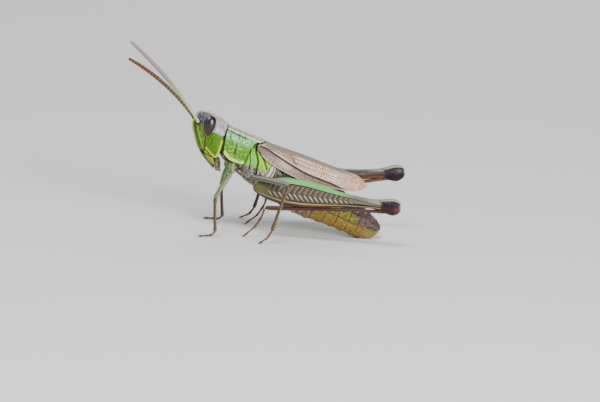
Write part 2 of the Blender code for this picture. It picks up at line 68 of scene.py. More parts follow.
# Each hair's rows and columns of points
HAIR_ROWS, HAIR_SIDES = 4, 3

# --- Dimensions shared with the solids ---

BODY_HEIGHT = 7.52
BODY_PITCH = math.radians(20)

# Trunk: station along the body, half width, height of the back, height of the belly
TRUNK = (
    (-0.3, 0.55, -0.5, -1.55), (0, 0.74, -0.36, -1.8), (0.35, 0.8, -0.38, -2.15),
    (0.9, 0.86, -0.4, -2.48), (1.5, 0.92, -0.42, -2.7), (2, 1.02, -0.45, -2.88),
    (2.16, 1.24, -0.45, -2.92), (2.6, 1.28, -0.45, -3.06), (3.3, 1.32, -0.45, -3.24),
    (4, 1.3, -0.47, -3.38), (4.9, 1.22, -0.52, -3.54), (6.3, 1.16, -0.72, -3.84),
    (7.4, 1.13, -0.86, -3.9), (8.5, 1.08, -1, -3.8), (10, 1, -1.22, -3.72),
    (11.5, 0.88, -1.62, -3.7), (12, 0.8, -1.78, -3.68), (12.4, 0.7, -1.94, -3.58),
    (12.7, 0.56, -2.08, -3.36), (12.9, 0.4, -2.22, -3.06), (13.05, 0.16, -2.38, -2.66),
)
TRUNK_SQUARENESS = (2.3, 2.3)
WIDEST_LEVEL = 0.55
THORAX_SPAN = (-0.3, 5.15)
ABDOMEN_JOINTS = (4.96, 5.9, 6.85, 7.8, 8.75, 9.65, 10.5, 11.25, 11.9)
ABDOMEN_START = 4.8
TAIL_SPAN = (11.8, 13.05)
# Rows that close the last ring of the abdomen
CLOSING_ROWS = 12
# Rows and columns of points on the skins
GRIDS = {
    "head": (170, 280), "eye": (64, 96), "lip": (60, 120), "palp": (49, 20),
    "thorax": (300, 200), "hinge": (60, 24), "shield": (176, 281), "abdomen": (432, 180),
    "tail": (110, 160), "cercus": (24, 16), "wing": (460, 108), "hip": (40, 48),
    "thigh": (90, 60), "shin": (90, 44), "foot": (26, 18), "pad": (12, 14),
    "hind_hip": (80, 72), "hind_thigh": (420, 168), "hind_shin": (260, 44),
}

# Head: height, front, rear, half width, narrowing towards the front
HEAD = (
    (-2.52, -0.78, 0.06, 0.6, 0.22), (-2.44, -1.04, 0.14, 0.8, 0.28),
    (-2.2, -1.36, 0.2, 0.94, 0.34), (-1.8, -1.71, 0.17, 1.04, 0.4), (-1.3, -2.1, 0.1, 1.07, 0.45),
    (-0.85, -2.32, 0.03, 1.04, 0.5), (-0.45, -2.34, -0.01, 1, 0.52),
    (-0.16, -2.29, -0.04, 0.9, 0.54), (0.02, -2.2, -0.1, 0.72, 0.5), (0.13, -2, -0.36, 0.5, 0.4),
    (0.21, -1.7, -0.62, 0.3, 0.2), (0.26, -1.3, -1, 0.02, 0),
)
HEAD_WIDEST = 0.68
HEAD_SQUARENESS = (2.3, 6)
EYE_CENTRE = (-1.29, 0.76, -0.57)
EYE_RADII = (0.56, 0.44, 0.78)
EYE_TILT = math.radians(15.5)
EYE_NARROWING = 0.32
EYE_POLE = 0.03

# Mouthparts: height, front, rear, half width, narrowing towards the front
UPPER_LIP = (
    (-2.46, -1.12, -0.7, 0.5, 0.1), (-2.54, -1.04, -0.6, 0.58, 0.1),
    (-2.76, -0.7, -0.34, 0.56, 0.1), (-3, -0.26, 0.08, 0.5, 0.1), (-3.16, 0.06, 0.34, 0.38, 0.1),
    (-3.24, 0.26, 0.4, 0.2, 0.1),
)
MANDIBLE = (
    (-2.34, -1.02, -0.2, 0.16, 0.1), (-2.52, -0.92, -0.02, 0.25, 0.1),
    (-2.72, -0.6, 0.14, 0.27, 0.1), (-2.9, -0.26, 0.34, 0.25, 0.1), (-3.06, 0.04, 0.42, 0.13, 0.1),
)
MANDIBLE_OFFSET = 0.44
LOWER_LIP = (
    (-2.44, 0, 0.46, 0.36, 0.1), (-2.6, 0.2, 0.58, 0.42, 0.1), (-2.84, 0.4, 0.7, 0.38, 0.1),
    (-3.04, 0.52, 0.76, 0.24, 0.1), (-3.1, 0.6, 0.72, 0.08, 0.1),
)
PALP_PATH = ((0.16, 0.46, -2.5), (0.3, 0.68, -2.76), (0.36, 0.8, -2.98), (0.6, 0.7, -3.22))
SMALL_PALP_PATH = ((0.56, 0.26, -2.9), (0.68, 0.36, -3.1), (0.84, 0.3, -3.22))

# Back shield: station, half width of the flat top, half width of the sides, lower edge
SHIELD = (
    (0, 0.78, 0.98, -1.45), (0.4, 0.74, 1.06, -1.88), (1.1, 0.74, 1.16, -2.14),
    (2, 0.92, 1.27, -1.98), (2.9, 1.05, 1.3, -1),
)
SHIELD_WALL = 0.1
SHIELD_TOP = -0.03
CARINA_DROP = 0.14
CARINA_PLACE = 0.36
# Place across, share of the top's and of the sides' half width, share of the drop to the carina
# and from there to the lower edge
SHIELD_SECTION = (
    (0, 0, 0, 0, 0), (0.2, 0.6, 0, 0.14, 0), (0.36, 1, 0, 1, 0), (0.56, 0, 0.97, 1, 0.28),
    (0.78, 0, 1, 1, 0.62), (1, 0, 0.98, 1, 1),
)
SHIELD_FRONT_EDGE = ((0, 0), (0.4, 0.02), (0.7, 0.1), (1, 0.42))
SHIELD_REAR_EDGE = ((0, 2.9), (0.2, 2.74), (0.36, 2.42), (0.56, 1.98), (1, 1.94))

# Forewings: station, half width at the shoulder, half width at the lower edge, top, lower edge
WING = (
    (2.5, 1, 1.2, -0.22, -0.8), (3, 0.98, 1.3, -0.12, -0.98), (3.8, 0.92, 1.36, -0.07, -1.22),
    (4.9, 0.84, 1.38, 0.02, -1.36), (6, 0.76, 1.34, 0.11, -1.4), (7.85, 0.66, 1.2, 0.19, -1.18),
    (9.4, 0.6, 1, 0.27, -0.88), (9.95, 0.58, 0.88, 0.28, -0.72), (10.4, 0.56, 0.76, 0.17, -0.5),
    (10.7, 0.55, 0.66, 0.04, -0.27), (10.82, 0.54, 0.6, -0.04, -0.16),
)
SHOULDER_DROP = 0.06
WING_WALL = 0.05
WING_ROOT_EDGE = ((0, 3), (0.5, 2.62), (0.75, 2.4), (1, 2.96))

# Antennae in the floor frame: root, bend and tip
ANTENNAE = {
    "left": ((-2.14, -0.49, 7.6), (-3.88, -0.8, 10.22), (-7.4, -1.4, 13.14)),
    "right": ((-2.3, 0.47, 7.62), (-4.15, 2.5, 9.9), (-6.88, 4.6, 10.95)),
}

# Front and middle legs in the floor frame: hip, trochanter, knee, ankle, heel, claws. The feet
# are thinner than the solids', so heel and claws lie lower.
SHORT_LEGS = {
    "front_left": ((0.38, -0.72, 4.8), (0.34, -1.18, 4.24), (-0.78, -2.6, 2.7),
                   (-0.62, -2.9, 0.4), (-0.88, -3.03, 0.15), (-1.72, -3.33, 0.1)),
    "front_right": ((0.38, 0.72, 4.8), (0.34, 1.18, 4.24), (0.2, 2.45, 2.72),
                    (0.48, 2.72, 0.4), (0.2, 2.88, 0.15), (-0.68, 3.18, 0.1)),
    "middle_left": ((1.48, -1.00, 4.4), (1.74, -1.72, 4.2), (4.15, -3.7, 4.13),
                    (3.2, -4.02, 0.9), (2.92, -4.14, 0.42), (2.42, -4.29, 0.08)),
    "middle_right": ((1.48, 1.00, 4.4), (1.74, 1.72, 4.2), (3.7, 3.86, 4.26),
                     (2.86, 4.1, 0.86), (2.56, 4.18, 0.38), (2.00, 4.31, 0.08)),
}

# Hind legs in the floor frame: both ends of the femur
HIND_FEMORA = {
    "left": ((1.9, -1.85, 3.53), (12.2, -3.5, 2.98)),
    "right": ((2.25, 1.85, 3.27), (13.3, 3.1, 4.3)),
}
# Fraction of the length, rise above the axis, drop below it, half thickness
HIND_FEMUR = (
    (0, 0.1, 0.1, 0.08), (0.008, 0.26, 0.26, 0.18), (0.03, 0.42, 0.42, 0.27),
    (0.08, 0.63, 0.63, 0.35), (0.15, 0.85, 0.84, 0.42), (0.22, 0.97, 0.95, 0.46),
    (0.31, 0.99, 0.97, 0.47), (0.4, 0.89, 0.9, 0.44), (0.5, 0.68, 0.72, 0.38),
    (0.62, 0.45, 0.48, 0.31), (0.72, 0.36, 0.37, 0.27), (0.8, 0.33, 0.34, 0.26),
    (0.86, 0.38, 0.38, 0.28), (0.9, 0.5, 0.54, 0.34), (0.945, 0.58, 0.64, 0.38),
    (0.98, 0.46, 0.5, 0.33), (0.996, 0.26, 0.3, 0.2), (1, 0.1, 0.12, 0.08),
)
HIND_HIP = ((3.46, 1.02, 5.1), (3.3, 1.06, 4.84), (2.98, 1.3, 4.22), (2.66, 1.48, 3.74))
HIP_WIDTH = ((0, 0.12), (0.35, 0.3), (0.75, 0.32), (1, 0.12))
HIP_RISE = ((0, 0.1), (0.4, 0.28), (0.8, 0.3), (1, 0.1))
# The shin lies folded under the femur: fraction of the femur's length, drop below its axis
HIND_TIBIA = ((0.945, 0.28), (0.915, 0.43), (0.86, 0.54), (0.7, 0.71), (0.5, 0.96), (0.1, 1.44))
HIND_SHIN = (
    (0, 0.1), (0.03, 0.17), (0.08, 0.16), (0.14, 0.12), (0.7, 0.125), (0.97, 0.155), (1, 0.08),
)
# Foot of the hind leg, from the end of the shin: forward, outward, and height above the floor
HIND_TARSUS = ((0.26, 0.03, 1.34), (0.62, 0.08, 0.72), (1.34, 0.2, 0.09))


def floor_zero():
    """The floor frame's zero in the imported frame.

    The neck's front ring stands at station 0, and its foot is the neck's foremost point.
    """
    low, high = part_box("neck")
    depth = TRUNK[1][3]
    return np.array((low.x / MM - depth * math.sin(BODY_PITCH), (low.y + high.y) / 2 / MM, 0.0))


FLOOR_ZERO = floor_zero()


# --- Number helpers ---


def ramp(low, high, value):
    """0 at low and 1 at high, with an S-shaped rise between them. Low may be above high."""
    share = np.clip((value - low) / (high - low), 0, 1)
    return share * share * (3 - 2 * share)


def hill(value, centre, width):
    """A bell curve of height 1 round the centre."""
    return np.exp(-(((value - centre) / width) ** 2))


def curve(table, place):
    """The columns after the first, at places along the first, on a curve through the rows.

    Between two rows it is a cubic whose slopes are the harmonic mean of the straight slopes on
    both sides, or zero where those differ in sign, so it never overshoots. A table of two
    columns gives plain numbers, and a wider one rows of them.
    """
    rows = np.array(table, float)
    knots, values = rows[:, 0], rows[:, 1:]
    step = np.diff(knots)[:, None]
    rise = np.diff(values, axis=0) / step
    slopes = np.concatenate([rise[:1], rise[1:], rise[-1:]])
    product = rise[1:] * rise[:-1]
    total = np.where(product > 0, rise[1:] + rise[:-1], 1.0)
    slopes[1:-1] = np.where(product > 0, 2 * product / total, 0.0)
    place = np.clip(np.asarray(place, float), knots[0], knots[-1])
    index = np.clip(np.searchsorted(knots, place, side="right") - 1, 0, len(knots) - 2)
    width = step[index]
    share = (place - knots[index])[..., None] / width
    first = 1 - share
    result = (
        (1 + 2 * share) * first ** 2 * values[index]
        + share * first ** 2 * width * slopes[index]
        + share ** 2 * (3 - 2 * share) * values[index + 1]
        - share ** 2 * first * width * slopes[index + 1]
    )
    return result[..., 0] if values.shape[1] == 1 else result


def along_rows(table, share):
    """Whole rows of a table, first column too, at shares of the path that its rows make."""
    rows = np.array(table, float)
    steps = np.linalg.norm(np.diff(rows, axis=0), axis=1)
    run = np.concatenate([[0], np.cumsum(steps)]) / steps.sum()
    return curve(np.column_stack([run, rows]), share)


def ripple(points, size, seed, waves=12):
    """Smooth waviness of about one size, mostly from -1 to 1: sine waves in drawn directions."""
    draw = np.random.default_rng(seed)
    directions = draw.normal(size=(waves, points.shape[-1]))
    directions /= np.linalg.norm(directions, axis=1, keepdims=True)
    lengths = size * draw.uniform(0.6, 1.6, waves)
    phases = draw.uniform(0, 2 * math.pi, waves)
    turns = points @ (directions / lengths[:, None] * 2 * math.pi).T + phases
    return np.sin(turns).sum(axis=-1) / math.sqrt(waves)


def path_gap(points, path):
    """Distance of every point from a chain of straight lines, in a plane or in space."""
    path = np.array(path, float)
    nearest = np.full(points.shape[:-1], np.inf)
    for start, end in zip(path, path[1:]):
        step = end - start
        share = np.clip((points - start) @ step / (step @ step), 0, 1)
        gap = np.linalg.norm(points - (start + share[..., None] * step), axis=-1)
        nearest = np.minimum(nearest, gap)
    return nearest


def net(across, along, jitter, seed):
    """An irregular net over two coordinates whose cells are about 1 wide.

    Each unit square holds one drawn point. The edge is the difference between a place's distances
    to its second nearest and its nearest point, and the tone is a drawn number for each cell.
    """
    draw = np.random.default_rng(seed)
    side = 256
    shifts = draw.uniform(-jitter, jitter, (side, side, 2))
    tones = draw.uniform(0, 1, (side, side))
    column, row = np.floor(across).astype(int), np.floor(along).astype(int)
    nearest = np.full(across.shape, np.inf)
    second = np.full(across.shape, np.inf)
    tone = np.zeros(across.shape)
    for right in (-1, 0, 1):
        for down in (-1, 0, 1):
            here = ((row + down) % side, (column + right) % side)
            gap = np.hypot(column + right + 0.5 + shifts[here][..., 0] - across,
                           row + down + 0.5 + shifts[here][..., 1] - along)
            second = np.minimum(second, np.maximum(gap, nearest))
            tone = np.where(gap < nearest, tones[here], tone)
            nearest = np.minimum(nearest, gap)
    return second - nearest, tone


def in_body(floor):
    """Floor-frame points in the body frame."""
    x, y, z = np.moveaxis(np.asarray(floor, float), -1, 0)
    z = z - BODY_HEIGHT
    s = x * math.cos(BODY_PITCH) - z * math.sin(BODY_PITCH)
    t = x * math.sin(BODY_PITCH) + z * math.cos(BODY_PITCH)
    return np.stack([s, y, t], axis=-1)


def unit(vectors):
    """Vectors brought to length 1."""
    return vectors / np.maximum(np.linalg.norm(vectors, axis=-1, keepdims=True), 1e-9)


def in_floor(body):
    """Body-frame points in the floor frame: pitched down towards the tail and lifted."""
    s, y, t = np.moveaxis(np.asarray(body, float), -1, 0)
    x = s * math.cos(BODY_PITCH) + t * math.sin(BODY_PITCH)
    z = t * math.cos(BODY_PITCH) - s * math.sin(BODY_PITCH) + BODY_HEIGHT
    return np.stack([x, y, z], axis=-1)


# --- Surfaces ---


def closed_rings(centres, across, upright, half_width, rise, drop, columns,
                 squareness=(2.0, 2.0), taper=0.0):
    """Rows of closed superellipse rings, and the lift of each column from -1 (low) to 1 (high).

    A ring reaches half_width to each side of its centre, rise above it and drop below it. The
    taper narrows it towards its upper end.
    """
    angle = np.linspace(0, 2 * math.pi, columns, endpoint=False)
    power = np.where(np.sin(angle) > 0, 2 / squareness[0], 2 / squareness[1])
    side = np.sign(np.cos(angle)) * np.abs(np.cos(angle)) ** power
    lift = np.sign(np.sin(angle)) * np.abs(np.sin(angle)) ** power
    half_width, rise, drop, taper = (
        np.broadcast_to(value, len(centres))[:, None] for value in (half_width, rise, drop, taper)
    )
    width = half_width * side * (1 - taper * np.maximum(lift, 0))
    height = np.where(lift > 0, rise, drop) * lift
    across = np.broadcast_to(across, centres.shape)[:, None, :]
    upright = np.broadcast_to(upright, centres.shape)[:, None, :]
    grid = centres[:, None, :] + width[..., None] * across + height[..., None] * upright
    return grid, np.broadcast_to(lift, grid.shape[:2])


def grid_normals(grid, outward=None):
    """Unit normals of a grid: the cross product of its directions round and along.

    A closed grid's normals point away from the middles of its rings, and an open one's to the
    side that outward gives.
    """
    along = np.gradient(grid, axis=0)
    if outward is None:
        around = np.roll(grid, -1, axis=1) - np.roll(grid, 1, axis=1)
        outward = grid - grid.mean(axis=1, keepdims=True)
    else:
        around = np.gradient(grid, axis=1)
    normals = unit(np.cross(around, along))
    return normals if (normals * outward).sum() > 0 else -normals


def pushed(grid, raised):
    """A closed grid with every point moved out along its normal by its raised height."""
    return grid + grid_normals(grid) * raised[..., None]


def sweep(path, half_width, rise, drop, rows, columns, up=(0, 0, 1)):
    """Closed rings carried along a path given by a few points. Sizes are tables over the path.

    The path is a smooth curve through the points. Each ring stands square to it, with its upright
    as near to up as that allows. A row of a size's table is a share of the path and the size.
    """
    share = 0.5 - 0.5 * np.cos(np.linspace(0.0, math.pi, rows))
    share = 0.5 * share + 0.5 * np.linspace(0, 1, rows)
    centres = along_rows(path, share)
    tangent = unit(np.gradient(centres, share, axis=0))
    across = unit(np.cross(tangent, np.broadcast_to(np.array(up, float), tangent.shape)))
    upright = np.cross(across, tangent)
    sizes = (curve(size, share) for size in (half_width, rise, drop))
    grid, lift = closed_rings(centres, across, upright, *sizes, columns)
    return grid, lift, np.broadcast_to(share[:, None], lift.shape)


def faces_round(index):
    """Four-sided faces between neighbouring rows of numbered points, closed round each row."""
    beside = np.roll(index, -1, axis=-1)
    faces = (index[..., :-1, :], beside[..., :-1, :], beside[..., 1:, :], index[..., 1:, :])
    return np.stack(faces, axis=-1).reshape(-1, 4)


def put(name, data):
    """A new object in the scene round its data."""
    holder = bpy.data.objects.new(name, data)
    bpy.context.scene.collection.objects.link(holder)
    return holder


class Shape:
    """Gathers closed surfaces in the floor frame and makes one mesh of them.

    Its fields are numbers on every point, 0 where none is given, which the finish reads as
    attributes.
    """

    def __init__(self, name):
        self.name = name
        self.points = []
        self.quads = []
        self.triangles = []
        self.fields = []
        self.patches = []
        self.count = 0

    def add(self, points, quads, triangles, values):
        """Adds one closed surface, its faces turned to look outwards, with its fields' values."""
        halves = np.concatenate([quads[:, [0, 1, 2]], quads[:, [0, 2, 3]], triangles])
        corners = points[halves] - points.mean(axis=0)
        if np.einsum("ij,ij->i", corners[:, 0], np.cross(corners[:, 1], corners[:, 2])).sum() < 0:
            quads, triangles = quads[:, ::-1], triangles[:, ::-1]
        self.points.append(points)
        self.quads.append(quads + self.count)
        self.triangles.append(triangles + self.count)
        self.fields.append(values)
        self.count += len(points)

    def add_rings(self, grid, **values):
        """Adds rows of closed rings, and closes both ends with a fan round a middle point."""
        rows, columns = grid.shape[:2]
        index = np.arange(rows * columns).reshape(rows, columns)
        beside = np.roll(index, -1, axis=1)
        first = np.full(columns, rows * columns)
        fans = [np.stack([beside[0], index[0], first], axis=-1),
                np.stack([index[-1], beside[-1], first + 1], axis=-1)]
        points = np.concatenate([grid.reshape(-1, 3), grid[[0, -1]].mean(axis=1)])
        spread = {}
        for field, value in values.items():
            value = np.broadcast_to(value, (rows, columns))
            spread[field] = np.concatenate([value.ravel(), value[[0, -1]].mean(axis=1)])
        self.add(points, faces_round(index), np.concatenate(fans), spread)

    def add_sheet(self, grid, normals, wall, **values):
        """Adds an open grid as a thin shell: the wall is laid inwards, and the rim is closed."""
        inner = grid - normals * wall
        rows, columns = grid.shape[:2]
        outer_index = np.arange(rows * columns).reshape(rows, columns)
        inner_index = outer_index + rows * columns
        quads = [faces_round(np.concatenate([outer_index, inner_index[:, ::-1]], axis=1))]
        for row, turn in ((0, 1), (-1, -1)):
            near, far = outer_index[row], inner_index[row]
            rim = np.stack([near[1:], near[:-1], far[:-1], far[1:]], axis=-1)
            quads.append(rim[:, ::turn])
        spread = {
            field: np.tile(np.broadcast_to(value, (rows, columns)).ravel(), 2)
            for field, value in values.items()
        }
        points = np.concatenate([grid.reshape(-1, 3), inner.reshape(-1, 3)])
        self.add(points, np.concatenate(quads), np.zeros((0, 3), int), spread)

    def add_hairs(self, roots, normals, places, lean, size, thickness, draw):
        """Adds bent three-sided hairs that taper from their roots, leaning to one side.

        Each stands on its own small patch of the coat's map, at its root's place on the skin.
        """
        count = len(roots)
        direction = unit(normals + lean + draw.normal(0, 0.22, (count, 3)))[:, None, None]
        across = unit(np.cross(direction, draw.normal(size=(count, 1, 1, 3))))
        other = np.cross(direction, across)
        run = np.array((0, 0.35, 0.7, 1.0)).reshape(1, HAIR_ROWS, 1, 1)
        reach = size * draw.uniform(0.6, 1.3, (count, 1, 1, 1))
        centres = roots[:, None, None] - 0.02 * normals[:, None, None] + reach * (
            direction * run + np.asarray(lean) * 0.35 * run ** 2
        )
        turn = (np.arange(HAIR_SIDES) * 2 * math.pi / HAIR_SIDES)[:, None]
        around = across * np.cos(turn) + other * np.sin(turn)
        rings = centres + thickness * (1 - 0.85 * run) * around
        index = np.arange(count * HAIR_ROWS * HAIR_SIDES).reshape(count, HAIR_ROWS, HAIR_SIDES)
        ends = np.concatenate([index[:, 0, ::-1], index[:, -1]])
        down, beside = np.linspace(0, 1, HAIR_ROWS), np.linspace(0, 1, HAIR_SIDES)
        within = np.stack(np.meshgrid(down, beside, indexing="ij"), axis=-1)
        self.patches.append((places[:, None, None] + PATCH * within).reshape(-1, 2))
        tone = np.repeat(draw.uniform(0, 1, count), HAIR_ROWS * HAIR_SIDES)
        self.add(rings.reshape(-1, 3), faces_round(index), ends, {"tone": tone})

    def make(self, finish, slot, replaces=()):
        """Makes the mesh in metres, flat where it meets the floor, and sets it on the frame.

        It stands for the replaced nodes.
        """
        points = (np.concatenate(self.points) + FLOOR_ZERO) * MM
        points[:, 2] = np.maximum(points[:, 2], 0.0)
        quads, triangles = np.concatenate(self.quads), np.concatenate(self.triangles)
        corners = np.concatenate([quads.ravel(), triangles.ravel()]).astype(np.int32)
        totals = np.repeat([4, 3], [len(quads), len(triangles)])
        mesh = bpy.data.meshes.new(self.name)
        mesh.vertices.add(len(points))
        mesh.vertices.foreach_set("co", points.astype(np.float32).ravel())
        mesh.loops.add(len(corners))
        mesh.loops.foreach_set("vertex_index", corners)
        mesh.polygons.add(len(totals))
        mesh.polygons.foreach_set("loop_start", (np.cumsum(totals) - totals).astype(np.int32))
        mesh.update(calc_edges=True)
        for field in sorted(set().union(*self.fields)):
            stored = [np.broadcast_to(values.get(field, 0.0), len(part))
                      for part, values in zip(self.points, self.fields)]
            layer = mesh.attributes.new(field, "FLOAT", "POINT")
            layer.data.foreach_set("value", np.concatenate(stored).astype(np.float32))
        if self.patches:
            patches = np.concatenate(self.patches).astype(np.float32)
            mesh.uv_layers.new(name="OFBake").data.foreach_set("uv", patches[corners].ravel())
        mesh.shade_smooth()
        mesh.materials.append(finish)
        piece = put(self.name, mesh)
        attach(piece, "root")
        if replaces:
            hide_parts(*replaces)


# --- Finishes ---


class Wire:
    """A socket of a node tree. Maths on it adds Math nodes."""

    def __init__(self, finish, socket):
        self.finish = finish
        self.socket = socket

    def maths(self, operation, *values, clamp=False):
        settings = {"operation": operation, "use_clamp": clamp}
        return self.finish.node("ShaderNodeMath", settings, dict(enumerate(values)))

    def __add__(self, other):
        return self.maths("ADD", self, other)

    def __sub__(self, other):
        return self.maths("SUBTRACT", self, other)

    def __rsub__(self, other):
        return self.maths("SUBTRACT", other, self)

    def __mul__(self, other):
        return self.maths("MULTIPLY", self, other)

    __radd__ = __add__
    __rmul__ = __mul__

    def limited(self):
        """The value held between 0 and 1."""
        return self.maths("ADD", self, 0.0, clamp=True)

    def step(self, low, high):
        """0 at low and 1 at high, with a smooth rise between them."""
        return self.finish.node(
            "ShaderNodeMapRange",
            {"interpolation_type": "SMOOTHSTEP"},
            {"Value": self, "From Min": low, "From Max": high},
        )


class Finish:
    """A material round one Principled shader, with the nodes that feed it."""

    def __init__(self, name, **constants):
        self.material = bpy.data.materials.new(name)
        self.material.use_nodes = True
        self.tree = self.material.node_tree
        self.shader = self.tree.nodes["Principled BSDF"]
        self.shader.inputs["Specular IOR Level"].default_value = 0.2
        for socket, value in constants.items():
            self.shader.inputs[socket.replace("_", " ")].default_value = value
        self.place = self.node("ShaderNodeTexCoord", output="Object")

    def node(self, kind, settings=None, inputs=None, output=0):
        """Adds a node: its settings first, then the values or wires of its sockets."""
        node = self.tree.nodes.new(kind)
        for key, value in (settings or {}).items():
            setattr(node, key, value)
        for key, value in (inputs or {}).items():
            self.feed(node.inputs[key], value)
        return Wire(self, node.outputs[output])

    def feed(self, socket, value):
        """Links a wire to a socket, or sets the socket to a value."""
        if isinstance(value, Wire):
            self.tree.links.new(value.socket, socket)
        elif socket.type == "RGBA":
            socket.default_value = (*value, 1.0)
        else:
            socket.default_value = value

    def __getitem__(self, name):
        """A number that the mesh holds on its points."""
        return self.node("ShaderNodeAttribute", {"attribute_name": name}, output="Fac")

    def noise(self, size, detail=3.0, stretch=(1.0, 1.0, 1.0)):
        """Cloudy noise from 0 to 1, its blotches about size across."""
        inputs = {0: self.place, 1: stretch}
        place = self.node("ShaderNodeVectorMath", {"operation": "MULTIPLY"}, inputs)
        inputs = {"Vector": place, "Scale": 1 / (size * MM), "Detail": detail, "Roughness": 0.55}
        return self.node("ShaderNodeTexNoise", None, inputs)

    def pits(self, size, randomness=0.8):
        """Distance from the middle of the nearest cell: dimples and facets about size across."""
        inputs = {"Vector": self.place, "Scale": 1 / (size * MM), "Randomness": randomness}
        return self.node("ShaderNodeTexVoronoi", None, inputs, "Distance")

    def mix(self, factor, first, second):
        """The first colour where the factor is 0, and the second where it is 1."""
        inputs = {0: factor, 6: first, 7: second}
        return self.node("ShaderNodeMix", {"data_type": "RGBA"}, inputs, 2)

    def paint(self, base, *layers):
        """Lays colours over a base, each through its own mask."""
        for mask, colour in layers:
            base = self.mix(mask, base, colour)
        return base

    def finish(self, colour, roughness, *reliefs):
        """Connects the shader. Each relief is a height wire and its depth in millimetres."""
        self.feed(self.shader.inputs["Base Color"], colour)
        self.feed(self.shader.inputs["Roughness"], roughness)
        normal = None
        for height, depth in reliefs:
            inputs = {"Height": height, "Distance": depth * MM}
            if normal:
                inputs["Normal"] = normal
            normal = self.node("ShaderNodeBump", None, inputs)
        if normal:
            self.feed(self.shader.inputs["Normal"], normal)
        return self.material


def horn(name, coat, gloss, blotch_size, fine_size, stretch=(1.0, 1.0, 1.0)):
    """A finish under a thin coat, its blotches, its fine grain, and a maker of specks.

    Specks lie where blotches and grain, each times its share, add up to more than low, and are
    full where they reach high.
    """
    finish = Finish(name, Coat_Weight=coat, Coat_Roughness=gloss)
    blotch, fine = finish.noise(blotch_size), finish.noise(fine_size, 4.0, stretch)

    def specks(blotch_share, fine_share, low, high):
        return (blotch * blotch_share + fine * fine_share).step(low, high)

    return finish, blotch, fine, specks


# --- Sizes and colours ---


def colour(name, description, *linear):
    """A colour setting, given as its shares of linear red, green and blue."""
    return bpy.props.FloatVectorProperty(
        name=name, description=description, subtype="COLOR", size=3, min=0, max=1, default=linear
    )


def length(name, description, millimetres, most=2.0):
    """A length setting. It is held in metres, as Blender shows lengths."""
    return bpy.props.FloatProperty(
        name=name, description=description, subtype="DISTANCE", unit="LENGTH", precision=6,
        default=millimetres * MM, min=0, max=most * MM
    )


def share(name, description, value):
    """A setting from 0 to 1."""
    return bpy.props.FloatProperty(
        name=name, description=description, subtype="FACTOR", default=value, min=0, max=1
    )


class HeadSettings(bpy.types.PropertyGroup):
    face: colour("Face", "Yellow-green of the face and cheeks", 0.08, 0.205, 0.001)
    face_shade: colour("Face shade", "Darker green of the mottling", 0.035, 0.085, 0.002)
    rim: colour("Rims", "Yellow of the frontal ridge and the cheek's edges", 0.56, 0.72, 0.004)
    cool: colour("Cool stripe", "Blue-green stripe beside the frontal ridge", 0.085, 0.13, 0.095)
    crown: colour("Crown", "Pinkish beige of the top of the head", 0.42, 0.32, 0.27)
    temple: colour("Temple", "Lavender grey behind the eye", 0.58, 0.53, 0.6)
    mottle: colour("Crown mottling", "Purple-grey spots on the crown", 0.13, 0.12, 0.19)
    dark: colour("Furrows", "Near-black of furrows and dents", 0.01, 0.009, 0.004)
    relief: length("Relief", "Height of the ridges of the face", 0.045, 0.2)


class EyeSettings(bpy.types.PropertyGroup):
    deep: colour("Deep colour", "Maroon brown of the lower eye", 0.014, 0.0036, 0.0014)
    upper: colour("Upper colour", "Blue-grey of the upper front", 0.045, 0.055, 0.12)
    facet: length("Facet", "Width of one facet", 0.03, 0.1)


class AntennaSettings(bpy.types.PropertyGroup):
    left_base: colour("Left base", "Yellow-green of the left antenna's base", 0.46, 0.48, 0.24)
    left_tip: colour("Left tip", "Pinkish grey of the left antenna's end", 0.235, 0.175, 0.175)
    right_base: colour("Right base", "Dark olive of the right antenna's base", 0.075, 0.062, 0.022)
    right_tip: colour("Right tip", "Reddish brown of the right antenna's end", 0.105, 0.038, 0.014)
    joint: colour("Joints", "Pale rings between the segments", 0.4, 0.34, 0.22)
    thickness: length("Thickness", "Radius at the widest", 0.14, 0.2)


class MouthSettings(bpy.types.PropertyGroup):
    lip: colour("Lips", "Grey of the lips", 0.1, 0.098, 0.088)
    jaw: colour("Jaw", "Yellow-olive of the jaws", 0.22, 0.27, 0.016)
    palp: colour("Palps", "Cream of the palps", 0.2, 0.145, 0.075)
    dark: colour("Dark", "Dark spots and gaps", 0.014, 0.011, 0.008)


class ThoraxSettings(bpy.types.PropertyGroup):
    plate: colour("Plates", "Green of the side plates", 0.13, 0.409, 0.07)
    edge: colour("Plate edges", "Yellow-green along the seams", 0.4, 0.72, 0.04)
    seam: colour("Seams", "Near-black seams between the plates", 0.006, 0.01, 0.003)
    belly: colour("Belly", "Grey-brown of the belly and hips", 0.2, 0.165, 0.12)
    relief: length("Relief", "Depth of the seams", 0.06, 0.2)


class ShieldSettings(bpy.types.PropertyGroup):
    disc: colour("Top", "Pinkish beige of the top", 0.145, 0.175, 0.072)
    keel: colour("Keels", "Creamy white of the three keels", 0.95, 0.9, 0.72)
    upper: colour("Upper sides", "Blue-green under the side keels", 0.18, 0.6, 0.26)
    lower: colour("Lower sides", "Bright green of the lower sides", 0.098, 0.279, 0.007)
    rim: colour("Rim", "Pale yellow-green of the lower rim", 0.55, 0.85, 0.14)
    dark: colour("Dark", "Near-black of the furrows", 0.01, 0.014, 0.008)
    relief: length("Relief", "Height of the keels", 0.05, 0.2)


class AbdomenSettings(bpy.types.PropertyGroup):
    side: colour("Sides", "Yellow-olive of the segments", 0.25, 0.225, 0.018)
    belly: colour("Belly", "Olive ochre of the belly", 0.3, 0.195, 0.028)
    # Painted shade: the upper flanks under the wings are painted near-black
    flank: colour("Upper flank", "Near-black under the wings", 0.035, 0.021, 0.015)
    tip: colour("Tip", "Dark purple-brown of the tip", 0.03, 0.015, 0.016)
    lower_plate: colour("Lower end plate", "Orange-ochre of the last plate", 0.34, 0.17, 0.022)


